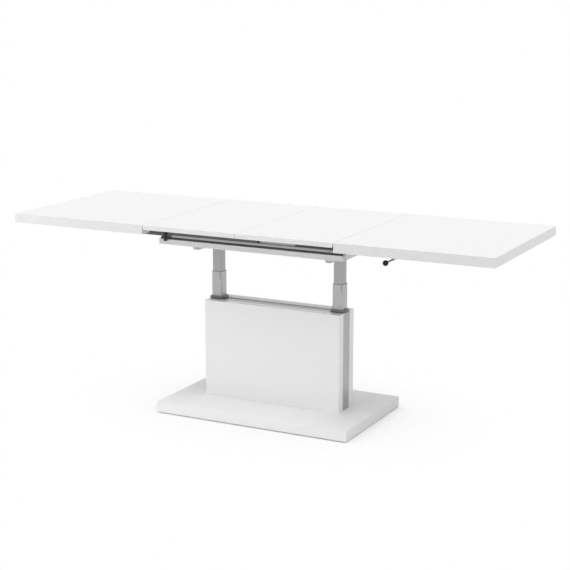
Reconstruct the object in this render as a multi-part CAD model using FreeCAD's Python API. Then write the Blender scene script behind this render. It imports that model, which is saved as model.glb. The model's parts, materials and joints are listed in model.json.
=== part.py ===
import FreeCAD, Part
import os
from math import pi
from FreeCAD import Vector

# Extending table on a telescopic lift pedestal, in millimetres.
# +X runs along the length, -Y faces the front, +Z is up.
# The origin is on the floor, under the middle of the table.

# Tabletop: two halves with two loose leaves between them
HALF_LENGTH = 600.0
LEAF_LENGTH = 400.0
TOP_DEPTH = 700.0
BOARD = 18.0
STRIP_THICKNESS = 18.0
STRIP_WIDTH = 50.0
BAND = 1.0
BAND_EASE = 0.6
SEAM = 1.0
LEAF_LIFT_RATIO = 3.0
LEAF_CLEARANCE = 0.6
DOWEL_DIAMETER = 8.0
DOWEL_LENGTH = 36.0
DOWEL_GAP = 0.3
DOWEL_INSET = 110.0

# Floor base and pedestal
GLIDE_HEIGHT = 4.0
GLIDE_DIAMETER = 40.0
GLIDE_INSET = 45.0
BASE_LENGTH = 826.0
BASE_DEPTH = 506.0
BASE_BOARD = 40.0
PEDESTAL_LENGTH = 590.0
PEDESTAL_HEIGHT = 389.0
PANEL = 37.0
STRIP_RECESS = 1.0
STRIP_WALL = 2.5
STRIP_FLANGE = 12.0
COVER_WALL = 4.0
COVER_FLANGE_DROP = 10.0
COVER_FLANGE_WALL = 2.0
GROOVE_WIDTH = 38.0
GROOVE_DEPTH = 2.5
COLLAR_HEIGHT = 11.5
COLLAR_END_LIP = 12.4
COLLAR_SIDE_LIP = 9.4
COLLAR_CHAMFER = 5.0
COLLAR_CORNER = 24.0

# Telescopic columns
COLUMN_END_GAP = 1.5
COLUMN_SIDE_GAP = 2.0
UPPER_TUBE = 39.0
UPPER_WALL = 2.0
MIDDLE_WALL = 2.3
OUTER_WALL = 1.4
TUBE_GAP = 0.4
TUBE_CORNER = 5.0
LIFT_TRAVEL = 200.0
HEAD_CLEARANCE = 5.5
MIDDLE_SINK = 2.5
FOOT_CLEARANCE = 6.0
SLIT_WIDTH = 2.2
SLIT_HEIGHT = 30.0
FOOT_PLATE = 6.0
FOOT_PLATE_OUTER_MARGIN = 1.0
PLATE_SIDE_GAP = 0.5

# Locking gas springs inside the columns
GAS_CYLINDER = 22.0
GAS_WALL = 2.0
GAS_CAP = 10.0
GAS_BOTTOM = 6.0
GAS_SPARE_LENGTH = 90.0
GAS_ROD = 10.0
PISTON_HEIGHT = 12.0
PISTON_GAP = 0.3
PISTON_TOP_GAP = 2.0
STEM_DIAMETER = 8.0
STEM_CLEARANCE = 11.0
STEM_SIDE_GAP = 5.0
RUNNING_FIT = 0.08
SEAT_GAP = 0.1

# Lift head frame
CROSSHEAD_HEIGHT = 32.5
CROSSHEAD_WIDTH = 20.0
CROSSHEAD_REACH = 166.0
CROSSHEAD_CHAMFER = 20.0
PAD_HEIGHT = 12.0
PAD_DEPTH = 48.0
PAD_MARGIN = 2.5
BAR_WIDTH = 25.0
BAR_HEIGHT = 20.5
BAR_WALL = 2.0
FRAME_LENGTH = 778.0
CAP_THICKNESS = 3.0
CAP_PLUG = 10.0
PACKING_HEIGHT = 9.0
PACKING_WIDTH = 18.0
PACKING_END_GAP = 6.0

# Extension rails and the slides that run on them
RAIL_INSET = 115.0
RAIL_WIDTH = 24.0
RAIL_WEB = 6.0
RAIL_LIP = 8.0
RAIL_GROOVE = 18.0
RAIL_FLANGE = 7.0
RAIL_END_GAP = 36.0
RAIL_STOP_LENGTH = 22.0
GLIDE_PAD_WALL = 3.0
GLIDE_PAD_BACK = 2.0
GLIDE_PAD_LENGTH = 158.0
SLIDE_WALL = 4.0
SLIDE_GAP = 1.0
SLIDE_TOP_GAP = 3.0
SLIDE_SKIRT_RISE = 1.0
SLIDE_OVERLAP = 43.0
SLIDE_LIP_DROP = 5.0
SLIDE_END_GAP = 4.0
TONGUE_GAP = 0.3
KEEPER_INSET = 32.5
KEEPER_WIDTH = 9.0
KEEPER_THICKNESS = 8.0
KEEPER_GAP = 0.5
KEEPER_FOOT = 6.0
KEEPER_HEIGHT = 38.0

# Belt that makes the two halves move together
SYNC_Y = 110.0
PULLEY_DIAMETER = 50.0
PULLEY_FLANGE = 3.5
PULLEY_FLANGE_WALL = 2.0
PULLEY_RISE = 6.0
PULLEY_HOLE_DIAMETER = 9.0
PULLEY_HOLE_COUNT = 5
BELT_GAP = 0.3
BELT_THICKNESS = 2.0
BELT_WIDTH = 10.0
AXLE_DIAMETER = 8.0
AXLE_SHOULDER = 14.0
AXLE_HEAD = 5.0
ARM_WIDTH = 24.0
ARM_WALL = 4.0
ARM_HOLD = 80.0
CLAMP_LENGTH = 20.0
CLAMP_WIDTH = 12.0
CLAMP_INSET = 86.5

# Release lever
RELEASE_Y = 30.0
RELEASE_RISE = 6.0
RELEASE_ROD = 8.0
RELEASE_BEND = 24.0
LEVER_X = 588.0
KNOB_INSET = 32.0
KNOB_DIAMETER = 21.0
KNOB_GRIP = 12.0
KNOB_FLAT = 9.0
CAM_WIDTH = 8.0
CAM_DIAMETER = 16.0
CAM_DROP = 7.0
CAM_NOSE = 6.0
CAM_ARM_HEIGHT = 8.0
CAM_GAP = 0.3
PIN_DIAMETER = 4.0
PIN_SEAT = 10.0
STEM_BORE_DEPTH = 40.0
BEARING_WIDTH = 18.0
BEARING_DEPTH = 24.0
BEARING_TOP = 9.0

# Fasteners
SCREW_DIAMETER = 4.0
SCREW_HEAD = 8.0
SCREW_LENGTH = 16.0
SLIDE_SCREW_COUNT = 4
PLATE_SCREW_DIAMETER = 6.0
PLATE_SCREW_HEAD = 10.0
PLATE_SCREW_HEAD_HEIGHT = 4.0
PLATE_SCREW_LENGTH = 34.0
PLATE_SCREW_EDGE = 9.0
PLATE_SCREW_PITCH = 20.0
PLATE_SCREW_TUBE_GAP = 10.1
PANEL_SCREW_DIAMETER = 5.0
PANEL_SCREW_HEAD = 9.0
PANEL_SCREW_HEAD_HEIGHT = 4.0
PANEL_SCREW_GRIP = 40.0
PANEL_SCREW_SPACING = 230.0
TIE_DIAMETER = 8.0
TIE_GRIP = 18.0
TIE_X = 120.0
TIE_EDGE = 80.0
BOLT_DIAMETER = 8.0
BOLT_HEAD = 14.0
BOLT_HEAD_HEIGHT = 4.5
BOLT_SPACING = 41.0
RAIL_SCREW_DIAMETER = 5.0
RAIL_SCREW_HEAD = 10.0
RAIL_SCREW_SPACING = 210.0
RAIL_SCREW_EDGE = 15.0

# Heights, added up from the floor
base_bottom = GLIDE_HEIGHT
base_top = base_bottom + BASE_BOARD
plate_top = base_top + FOOT_PLATE
pedestal_top = base_top + PEDESTAL_HEIGHT
cover_bottom = pedestal_top - COVER_WALL
collar_top = pedestal_top + COLLAR_HEIGHT
middle_top = collar_top - MIDDLE_SINK + LIFT_TRAVEL / 2
middle_bottom = plate_top + LIFT_TRAVEL / 2 + FOOT_CLEARANCE
upper_bottom = plate_top + LIFT_TRAVEL + FOOT_CLEARANCE
head_bottom = collar_top + LIFT_TRAVEL + HEAD_CLEARANCE
frame_bottom = head_bottom + CROSSHEAD_HEIGHT
frame_top = frame_bottom + BAR_HEIGHT
rail_bottom = frame_top + PACKING_HEIGHT
groove_bottom = rail_bottom + RAIL_LIP
groove_top = groove_bottom + RAIL_GROOVE
rail_top = groove_top + RAIL_FLANGE
slide_flange_bottom = rail_top + SLIDE_TOP_GAP
board_bottom = slide_flange_bottom + SLIDE_WALL
table_top = board_bottom + BOARD

# Plan sizes that follow from the driving ones
half_x = LEAF_LENGTH + HALF_LENGTH
half_y = TOP_DEPTH / 2
dowel_spacing = half_y - DOWEL_INSET
pedestal_x = PEDESTAL_LENGTH / 2
strip_x = pedestal_x - STRIP_RECESS
strip_inner_x = strip_x - STRIP_WALL
upper_inner = UPPER_TUBE - 2 * UPPER_WALL
middle_inner = UPPER_TUBE + 2 * TUBE_GAP
middle_outer = middle_inner + 2 * MIDDLE_WALL
outer_inner = middle_outer + 2 * TUBE_GAP
outer_outer = outer_inner + 2 * OUTER_WALL
core_y = outer_outer / 2 + COLUMN_SIDE_GAP + STRIP_WALL
panel_y = core_y + PANEL
panel_mid_y = core_y + PANEL / 2
column_x = strip_inner_x - COLUMN_END_GAP - outer_outer / 2
plate_screw_x = column_x - outer_outer / 2 - PLATE_SCREW_TUBE_GAP
collar_length = outer_inner + 2 * COLLAR_END_LIP
collar_width = outer_inner + 2 * COLLAR_SIDE_LIP
crosshead_x = column_x + STEM_DIAMETER / 2 + STEM_SIDE_GAP + CROSSHEAD_WIDTH / 2
frame_x = FRAME_LENGTH / 2
end_bar_x = frame_x - BAR_WIDTH / 2
keeper_x = frame_x - KEEPER_INSET
stop_x = frame_x - RAIL_END_GAP
rail_x = stop_x - RAIL_STOP_LENGTH
rail_screw_gaps = int(2 * (rail_x - RAIL_SCREW_EDGE) / RAIL_SCREW_SPACING)
rail_y = half_y - RAIL_INSET
bar_inner_y = rail_y - BAR_WIDTH / 2
bar_outer_y = rail_y + BAR_WIDTH / 2
slide_skirt_inner = RAIL_WIDTH / 2 + SLIDE_GAP
slide_skirt_outer = slide_skirt_inner + SLIDE_WALL
slide_end_x = half_x - BAND - STRIP_WIDTH - SLIDE_END_GAP
slide_lip_x = stop_x
knob_y = KNOB_INSET - half_y
rod_start = -crosshead_x - BEARING_WIDTH
leaf_undercut = BOARD / LEAF_LIFT_RATIO - SEAM + LEAF_CLEARANCE

# Release lever, gas springs and belt, up from the frame
release_z = frame_top + RELEASE_RISE
cam_bottom = release_z - CAM_DROP
stem_top = cam_bottom - STEM_CLEARANCE
gas_top = plate_top + LIFT_TRAVEL + GAS_SPARE_LENGTH
gas_bore = GAS_CYLINDER - 2 * GAS_WALL
piston_top = gas_top - GAS_CAP - PISTON_TOP_GAP
pulley_bottom = frame_top + PULLEY_RISE
belt_bottom = pulley_bottom + PULLEY_FLANGE_WALL + BELT_GAP
belt_top = belt_bottom + BELT_WIDTH
pulley_top = belt_top + BELT_GAP + PULLEY_FLANGE_WALL
belt_inner_radius = PULLEY_DIAMETER / 2 + BELT_GAP
belt_outer_radius = belt_inner_radius + BELT_THICKNESS
belt_run = (belt_inner_radius + belt_outer_radius) / 2


def box(x0, x1, y0, y1, z0, z1):
    """A block between two corners."""
    return Part.makeBox(x1 - x0, y1 - y0, z1 - z0, Vector(x0, y0, z0))


def post(x, y, z0, z1, diameter):
    """An upright cylinder."""
    return Part.makeCylinder(diameter / 2, z1 - z0, Vector(x, y, z0))


def bar_y(x, z, y0, y1, diameter):
    """A cylinder along Y."""
    return Part.makeCylinder(diameter / 2, y1 - y0, Vector(x, y0, z), Vector(0, 1, 0))


def bar_x(y, z, x0, x1, diameter):
    """A cylinder along X."""
    return Part.makeCylinder(diameter / 2, x1 - x0, Vector(x0, y, z), Vector(1, 0, 0))


def extrude_x(points, x0, x1):
    """A section of (y, z) points drawn out along X."""
    corners = [Vector(x0, y, z) for y, z in points]
    face = Part.Face(Part.makePolygon(corners + corners[:1]))
    return face.extrude(Vector(x1 - x0, 0, 0))


def fuse(first, *others):
    """One solid from touching or overlapping shapes, without the seams between them."""
    return first.fuse(list(others)).removeSplitter()


def cut(shape, tools):
    """The shape with every tool taken out of it."""
    return shape.cut(list(tools)) if tools else shape


def edges_along(shape, axis):
    """Straight edges that run along an axis."""
    return [
        edge
        for edge in shape.Edges
        if isinstance(edge.Curve, Part.Line) and abs(edge.Curve.Direction.dot(axis)) > 0.999
    ]


def moved(shape, x, y=0, z=0):
    """A copy of the shape, shifted."""
    copy = shape.copy()
    copy.translate(Vector(x, y, z))
    return copy


def half_turn(shape):
    """A copy turned by half a turn about the table's upright middle line."""
    copy = shape.copy()
    copy.rotate(Vector(0, 0, 0), Vector(0, 0, 1), 180)
    return copy


def mirrored_x(shape):
    """A copy mirrored from the right to the left."""
    return shape.mirror(Vector(0, 0, 0), Vector(1, 0, 0))


def rounded_block(length, width, z0, z1, corner):
    """An upright block about the Z axis, with its four upright edges rounded."""
    block = box(-length / 2, length / 2, -width / 2, width / 2, z0, z1)
    return block.makeFillet(corner, edges_along(block, Vector(0, 0, 1)))


def square_tube(outer, inner, z0, z1):
    """A square tube about the Z axis, with rounded corners."""
    wall = (outer - inner) / 2
    inside_corner = max(TUBE_CORNER - wall, wall / 2)
    shell = rounded_block(outer, outer, z0, z1, TUBE_CORNER)
    return shell.cut(rounded_block(inner, inner, z0, z1, inside_corner))


def box_tube_y(x, y0, y1, z0):
    """A rectangular tube along Y, as used for the frame's cross bars."""
    half = BAR_WIDTH / 2
    outside = box(x - half, x + half, y0, y1, z0, z0 + BAR_HEIGHT)
    inside = box(
        x - half + BAR_WALL,
        x + half - BAR_WALL,
        y0,
        y1,
        z0 + BAR_WALL,
        z0 + BAR_HEIGHT - BAR_WALL,
    )
    return outside.cut(inside)


def countersunk(x, y, z, head, shank, length, gap=0):
    """A countersunk screw pointing up from z, or its hole where gap is not 0."""
    head_height = (head - shank) / 2
    cone = Part.makeCone(head / 2 + gap, shank / 2 + gap, head_height, Vector(x, y, z))
    return fuse(cone, post(x, y, z, z + length + gap, shank + 2 * gap))


def base_board():
    board = box(
        -BASE_LENGTH / 2,
        BASE_LENGTH / 2,
        -BASE_DEPTH / 2,
        BASE_DEPTH / 2,
        base_bottom,
        base_top,
    )
    board = board.makeFillet(BAND_EASE, edges_along(board, Vector(0, 0, 1)))
    holes = panel_screw_solids(SEAT_GAP) + plate_screw_solids(SEAT_GAP)
    return cut(board, holes)


def base_glides():
    x = BASE_LENGTH / 2 - GLIDE_INSET
    y = BASE_DEPTH / 2 - GLIDE_INSET
    return [post(sx * x, sy * y, 0, base_bottom, GLIDE_DIAMETER) for sx in (-1, 1) for sy in (-1, 1)]


def panel_screw_solids(gap=0):
    """Screws up through the base into the panels, or their holes."""
    solids = []
    top = base_top + PANEL_SCREW_GRIP
    for x in (-PANEL_SCREW_SPACING, 0, PANEL_SCREW_SPACING):
        for y in (-panel_mid_y, panel_mid_y):
            head_top = base_bottom + PANEL_SCREW_HEAD_HEIGHT
            head = post(x, y, base_bottom, head_top + gap, PANEL_SCREW_HEAD + 2 * gap)
            shank = post(x, y, base_bottom, top + gap, PANEL_SCREW_DIAMETER + 2 * gap)
            solids.append(fuse(head, shank))
    return solids


def plate_screw_places():
    """Where the foot plates are screwed down: on the inner side of each column."""
    y = core_y - PLATE_SIDE_GAP - PLATE_SCREW_EDGE
    return [
        (side * (plate_screw_x - step * PLATE_SCREW_PITCH), sy * y)
        for side in (-1, 1)
        for step in (1, 0)
        for sy in (-1, 1)
    ]


def plate_screw_solids(gap=0):
    """Screws through the foot plates into the base, or their holes."""
    solids = []
    for x, y in plate_screw_places():
        head_top = plate_top + PLATE_SCREW_HEAD_HEIGHT
        shank_bottom = plate_top - PLATE_SCREW_LENGTH
        shank = post(x, y, shank_bottom - gap, head_top, PLATE_SCREW_DIAMETER + 2 * gap)
        head = post(x, y, plate_top, head_top, PLATE_SCREW_HEAD)
        solids.append(fuse(head, shank))
    return solids


def tie_bolt_solids(gap=0):
    """Bolts that tie the front panel to the rear one, or their holes."""
    reach = core_y + TIE_GRIP + gap
    return [
        bar_y(x, z, -reach, reach, TIE_DIAMETER + 2 * gap)
        for x in (-TIE_X, TIE_X)
        for z in (base_top + TIE_EDGE, pedestal_top - TIE_EDGE)
    ]


def front_panel():
    panel = box(-pedestal_x, pedestal_x, -panel_y, -core_y, base_top, pedestal_top)
    panel = panel.makeFillet(BAND_EASE, edges_along(panel, Vector(0, 0, 1)))
    return cut(panel, tie_bolt_solids(SEAT_GAP) + panel_screw_solids(SEAT_GAP))


def right_end_strip():
    """Channel that closes the pedestal's end between the two panels."""
    inner = strip_inner_x - STRIP_FLANGE
    channel = box(inner, strip_x, -core_y, core_y, base_top, cover_bottom)
    hollow = box(inner, strip_inner_x, -core_y + STRIP_WALL, core_y - STRIP_WALL, base_top, cover_bottom)
    return channel.cut(hollow)


def top_cover():
    """Channel over the pedestal, with a hole for each column and a groove between them."""
    plate = box(-strip_x, strip_x, -core_y, core_y, cover_bottom, pedestal_top)
    flange_x = column_x - outer_outer / 2 - COVER_WALL
    flange_bottom = cover_bottom - COVER_FLANGE_DROP
    inner_y = core_y - COVER_FLANGE_WALL
    flanges = [
        box(-flange_x, flange_x, inner_y, core_y, flange_bottom, cover_bottom),
        box(-flange_x, flange_x, -core_y, -inner_y, flange_bottom, cover_bottom),
    ]
    hole = rounded_block(outer_inner, outer_inner, cover_bottom, pedestal_top, TUBE_CORNER)
    groove_x = column_x - collar_length / 2 - COVER_WALL
    groove = box(
        -groove_x,
        groove_x,
        -GROOVE_WIDTH / 2,
        GROOVE_WIDTH / 2,
        pedestal_top - GROOVE_DEPTH,
        pedestal_top,
    )
    return cut(fuse(plate, *flanges), [moved(hole, -column_x), moved(hole, column_x), groove])


def column_collars():
    """Chamfered cap round each column where it leaves the pedestal."""
    cap = rounded_block(collar_length, collar_width, pedestal_top, collar_top, COLLAR_CORNER)
    rim = [edge for edge in cap.Edges if edge.BoundBox.ZMin > collar_top - BAND_EASE]
    cap = cap.makeChamfer(COLLAR_CHAMFER, rim)
    cap = cap.cut(rounded_block(outer_inner, outer_inner, pedestal_top, collar_top, TUBE_CORNER))
    return [moved(cap, -column_x), moved(cap, column_x)]


def foot_plates():
    """Steel plate that carries each column, screwed to the base."""
    inner = plate_screw_x - PLATE_SCREW_PITCH - PLATE_SCREW_EDGE
    outer = strip_inner_x - FOOT_PLATE_OUTER_MARGIN
    width = core_y - PLATE_SIDE_GAP
    flange_x = strip_inner_x - STRIP_FLANGE - FOOT_PLATE_OUTER_MARGIN
    flange_y = core_y - STRIP_WALL - PLATE_SIDE_GAP
    wide = box(inner, flange_x, -width, width, base_top, plate_top)
    narrow = box(flange_x, outer, -flange_y, flange_y, base_top, plate_top)
    plate = fuse(wide, narrow)
    holes = plate_screw_solids(SEAT_GAP)
    return [cut(mirrored_x(plate), holes), cut(plate, holes)]


def outer_tube():
    return square_tube(outer_outer, outer_inner, plate_top, cover_bottom)


def middle_tube():
    """Middle stage, with a narrow slit down from its top near the right corner."""
    tube = square_tube(middle_outer, middle_inner, middle_bottom, middle_top)
    slit_x = middle_outer / 2 - TUBE_CORNER - SLIT_WIDTH
    slit = box(
        slit_x,
        slit_x + SLIT_WIDTH,
        -middle_outer / 2,
        -middle_inner / 2,
        middle_top - SLIT_HEIGHT,
        middle_top,
    )
    return tube.cut(slit)


def upper_tube():
    return square_tube(UPPER_TUBE, upper_inner, upper_bottom, head_bottom)


def gas_cylinder():
    """Body of the locking gas spring, standing on the foot plate."""
    body = post(0, 0, plate_top, gas_top, GAS_CYLINDER)
    bore = post(0, 0, plate_top + GAS_BOTTOM, gas_top - GAS_CAP, gas_bore)
    mouth = post(0, 0, gas_top - GAS_CAP, gas_top, GAS_ROD + 2 * RUNNING_FIT)
    return cut(body, [bore, mouth])


def gas_rod():
    """Piston rod with its piston, and the stem that holds the release pin."""
    piston = post(0, 0, piston_top - PISTON_HEIGHT, piston_top, gas_bore - 2 * PISTON_GAP)
    rod = post(0, 0, piston_top, head_bottom, GAS_ROD)
    stem = post(0, 0, head_bottom, stem_top, STEM_DIAMETER)
    bore = post(0, 0, stem_top - STEM_BORE_DEPTH, stem_top, PIN_DIAMETER + 2 * RUNNING_FIT)
    return fuse(piston, rod, stem).cut(bore)


def release_pin():
    """Pin that opens the gas spring's valve when it is pushed down."""
    bottom = stem_top - STEM_BORE_DEPTH + PIN_SEAT
    return post(0, 0, bottom, cam_bottom - CAM_GAP, PIN_DIAMETER)


def crosshead_bolt_places():
    """Where the crossheads are bolted to the cross bars."""
    return [
        (side * crosshead_x, sy * y)
        for side in (-1, 1)
        for y in (BOLT_SPACING, 2 * BOLT_SPACING)
        for sy in (-1, 1)
    ]


def crosshead_bolt_solids(gap=0):
    """Bolts up through the crossheads into the cross bars, or their holes."""
    solids = []
    top = frame_bottom + 2 * BAR_WALL
    for x, y in crosshead_bolt_places():
        shank = post(x, y, head_bottom - BOLT_HEAD_HEIGHT, top + gap, BOLT_DIAMETER + 2 * gap)
        head = post(x, y, head_bottom - BOLT_HEAD_HEIGHT, head_bottom, BOLT_HEAD)
        solids.append(fuse(head, shank))
    return solids


def right_crosshead():
    """Bar across the top of the right column, with a pad over the tube."""
    half = CROSSHEAD_WIDTH / 2
    low = CROSSHEAD_REACH - CROSSHEAD_CHAMFER
    section = [
        (-low, head_bottom),
        (low, head_bottom),
        (CROSSHEAD_REACH, head_bottom + CROSSHEAD_CHAMFER),
        (CROSSHEAD_REACH, frame_bottom),
        (-CROSSHEAD_REACH, frame_bottom),
        (-CROSSHEAD_REACH, head_bottom + CROSSHEAD_CHAMFER),
    ]
    bar = extrude_x(section, crosshead_x - half, crosshead_x + half)
    pad = box(
        column_x - UPPER_TUBE / 2 - PAD_MARGIN,
        crosshead_x - half,
        -PAD_DEPTH / 2,
        PAD_DEPTH / 2,
        head_bottom,
        head_bottom + PAD_HEIGHT,
    )
    stem_hole = post(column_x, 0, head_bottom, frame_bottom, STEM_DIAMETER + 2 * SEAT_GAP)
    return cut(fuse(bar, pad), [stem_hole] + crosshead_bolt_solids(SEAT_GAP))


def rail_screw_solids(gap=0):
    """Countersunk screws up through the frame bars and packing into the rails, or their holes.

    Each rail takes as many, evenly spaced about its middle, as keep clear of its ends.
    """
    length = rail_bottom + RAIL_LIP / 2 - frame_bottom
    return [
        countersunk(
            (step - rail_screw_gaps / 2) * RAIL_SCREW_SPACING,
            side * rail_y,
            frame_bottom,
            RAIL_SCREW_HEAD,
            RAIL_SCREW_DIAMETER,
            length,
            gap,
        )
        for step in range(rail_screw_gaps + 1)
        for side in (-1, 1)
    ]


def front_frame_bar():
    """Long tube of the frame under the front rail."""
    x = frame_x - CAP_THICKNESS
    outside = box(-x, x, -bar_outer_y, -bar_inner_y, frame_bottom, frame_top)
    inside = box(
        -x,
        x,
        -bar_outer_y + BAR_WALL,
        -bar_inner_y - BAR_WALL,
        frame_bottom + BAR_WALL,
        frame_top - BAR_WALL,
    )
    return cut(outside.cut(inside), rail_screw_solids(SEAT_GAP))


def frame_end_caps():
    """Plastic plug in each open end of the two long tubes."""
    x = frame_x - CAP_THICKNESS
    face = box(x, frame_x, -bar_outer_y, -bar_inner_y, frame_bottom, frame_top)
    inset = BAR_WALL + SEAT_GAP
    plug = box(
        x - CAP_PLUG,
        x,
        -bar_outer_y + inset,
        -bar_inner_y - inset,
        frame_bottom + inset,
        frame_top - inset,
    )
    right_front = fuse(face, plug)
    left_front = mirrored_x(right_front)
    return [right_front, left_front, half_turn(right_front), half_turn(left_front)]


def axle_places():
    return [(-end_bar_x, SYNC_Y), (end_bar_x, SYNC_Y)]


def pulley_axle_solids(gap=0):
    """Shouldered bolt that each belt pulley turns on, or its hole in the cross bar."""
    solids = []
    bottom = frame_top - 2 * BAR_WALL
    shoulder_top = pulley_bottom - BELT_GAP
    head_bottom_z = pulley_top + BELT_GAP
    for x, y in axle_places():
        shank = post(x, y, bottom - gap, head_bottom_z, AXLE_DIAMETER + 2 * gap)
        shoulder = post(x, y, frame_top, shoulder_top, AXLE_SHOULDER)
        head = post(x, y, head_bottom_z, head_bottom_z + AXLE_HEAD, AXLE_SHOULDER)
        solids.append(fuse(shank, shoulder, head))
    return solids


def cross_bars():
    """Four tubes across the frame: one over each crosshead and one at each end."""
    holes = crosshead_bolt_solids(SEAT_GAP) + pulley_axle_solids(SEAT_GAP)
    places = (-end_bar_x, -crosshead_x, crosshead_x, end_bar_x)
    return [cut(box_tube_y(x, -bar_inner_y, bar_inner_y, frame_bottom), holes) for x in places]


def packing_strips():
    """Strip between each frame bar and its rail."""
    x = frame_x - PACKING_END_GAP
    half = PACKING_WIDTH / 2
    front = box(-x, x, -rail_y - half, -rail_y + half, frame_top, rail_bottom)
    front = cut(front, rail_screw_solids(SEAT_GAP))
    return [front, half_turn(front)]


def rail_section():
    """Section of the front rail: an I with a groove on each side."""
    flange = RAIL_WIDTH / 2
    web = RAIL_WEB / 2
    right = [
        (flange, rail_bottom),
        (flange, groove_bottom),
        (web, groove_bottom),
        (web, groove_top),
        (flange, groove_top),
        (flange, rail_top),
    ]
    left = [(-y, z) for y, z in reversed(right)]
    return [(y - rail_y, z) for y, z in right + left]


def front_fixed_rail():
    return cut(extrude_x(rail_section(), -rail_x, rail_x), rail_screw_solids(SEAT_GAP))


def rail_stops():
    """Plastic end piece that carries on each rail's section."""
    right_front = extrude_x(rail_section(), rail_x, stop_x)
    left_front = extrude_x(rail_section(), -stop_x, -rail_x)
    return [right_front, left_front, half_turn(right_front), half_turn(left_front)]


def rail_glides():
    """Plastic liners in both grooves of both rails, at their two ends."""
    web = RAIL_WEB / 2
    back = web + GLIDE_PAD_BACK
    mouth = RAIL_WIDTH / 2 - KEEPER_GAP
    section = [
        (web, groove_bottom),
        (mouth, groove_bottom),
        (mouth, groove_bottom + GLIDE_PAD_WALL),
        (back, groove_bottom + GLIDE_PAD_WALL),
        (back, groove_top - GLIDE_PAD_WALL),
        (mouth, groove_top - GLIDE_PAD_WALL),
        (mouth, groove_top),
        (web, groove_top),
    ]
    inner_end = stop_x - GLIDE_PAD_LENGTH
    solids = []
    for x0, x1 in ((-stop_x, -inner_end), (inner_end, stop_x)):
        for facing in (-1, 1):
            pad = extrude_x([(facing * y - rail_y, z) for y, z in section], x0, x1)
            solids += [pad, half_turn(pad)]
    return solids


def slide_keepers():
    """Plastic post on the frame bar that keeps the outer slide in its groove."""
    skirt_y = -rail_y - slide_skirt_outer - KEEPER_GAP
    x0 = -keeper_x - KEEPER_WIDTH / 2
    x1 = -keeper_x + KEEPER_WIDTH / 2
    foot_bottom = frame_top - KEEPER_FOOT
    foot = box(x0, x1, skirt_y, -bar_outer_y, foot_bottom, frame_top)
    upright = box(x0, x1, skirt_y - KEEPER_THICKNESS, skirt_y, foot_bottom, foot_bottom + KEEPER_HEIGHT)
    front = fuse(foot, upright)
    return [front, half_turn(front)]


def slide_screw_solids(line_y, gap=0):
    """Screws up through one slide of the left half into its board, or their holes."""
    middle = line_y - (slide_skirt_outer + SLIDE_GAP) / 2
    first = -slide_end_x + STRIP_WIDTH / 2
    last = -LEAF_LENGTH - STRIP_WIDTH / 2
    pitch = (last - first) / (SLIDE_SCREW_COUNT - 1)
    return [
        countersunk(
            first + step * pitch,
            middle,
            slide_flange_bottom,
            SCREW_HEAD,
            SCREW_DIAMETER,
            SCREW_LENGTH,
            gap,
        )
        for step in range(SLIDE_SCREW_COUNT)
    ]


def left_slide(line_y):
    """Moving profile of the left half: a skirt, a tongue in the groove and a top flange.

    Beyond the rail, where it reaches out freely, the skirt is deeper by a stiffening lip.
    """
    skirt_bottom = groove_bottom + SLIDE_SKIRT_RISE
    tongue_bottom = groove_bottom + GLIDE_PAD_WALL + TONGUE_GAP
    tongue_top = groove_top - GLIDE_PAD_WALL - TONGUE_GAP
    tongue_tip = RAIL_WEB / 2 + GLIDE_PAD_BACK + TONGUE_GAP
    section = [
        (-slide_skirt_outer, skirt_bottom),
        (-slide_skirt_inner, skirt_bottom),
        (-slide_skirt_inner, tongue_bottom),
        (-tongue_tip, tongue_bottom),
        (-tongue_tip, tongue_top),
        (-slide_skirt_inner, tongue_top),
        (-slide_skirt_inner, slide_flange_bottom),
        (-SLIDE_GAP, slide_flange_bottom),
        (-SLIDE_GAP, board_bottom),
        (-slide_skirt_outer, board_bottom),
    ]
    profile = extrude_x([(y + line_y, z) for y, z in section], -slide_end_x, SLIDE_OVERLAP)
    lip = box(
        -slide_end_x,
        -slide_lip_x,
        line_y - slide_skirt_outer,
        line_y - slide_skirt_inner,
        skirt_bottom - SLIDE_LIP_DROP,
        skirt_bottom,
    )
    return cut(fuse(profile, lip), slide_screw_solids(line_y, SEAT_GAP))


def left_slide_screws():
    return slide_screw_solids(-rail_y) + slide_screw_solids(rail_y)


def left_top_board():
    y = half_y - BAND
    board = box(-half_x + BAND, -LEAF_LENGTH, -y, y, board_bottom, table_top)
    holes = slide_screw_solids(-rail_y, SEAT_GAP) + slide_screw_solids(rail_y, SEAT_GAP)
    return cut(board, holes)


def left_edge_strips():
    """Strips that double the board along its front, its back and its outer end."""
    outer_x = -half_x + BAND
    outer_y = half_y - BAND
    inner_y = outer_y - STRIP_WIDTH
    bottom = board_bottom - STRIP_THICKNESS
    front = box(outer_x, -LEAF_LENGTH, -outer_y, -inner_y, bottom, board_bottom)
    back = box(outer_x, -LEAF_LENGTH, inner_y, outer_y, bottom, board_bottom)
    end = box(outer_x, outer_x + STRIP_WIDTH, -inner_y, inner_y, bottom, board_bottom)
    return [front, back, end]


def left_edge_band():
    """Thin band round the doubled edge, on the front, the outer end and the back."""
    bottom = board_bottom - STRIP_THICKNESS
    outside = box(-half_x, -LEAF_LENGTH, -half_y, half_y, bottom, table_top)
    outside = outside.makeFillet(BAND_EASE, outer_edges(outside))
    y = half_y - BAND
    return outside.cut(box(-half_x + BAND, -LEAF_LENGTH, -y, y, bottom, table_top))


def outer_edges(shape):
    """The long edges of a half's outside: its front, back and outer end, above and below."""
    along_x = edges_along(shape, Vector(1, 0, 0))
    end = [
        edge
        for edge in edges_along(shape, Vector(0, 1, 0)) + edges_along(shape, Vector(0, 0, 1))
        if edge.BoundBox.XMax < -half_x + BAND
    ]
    return along_x + end


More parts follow.
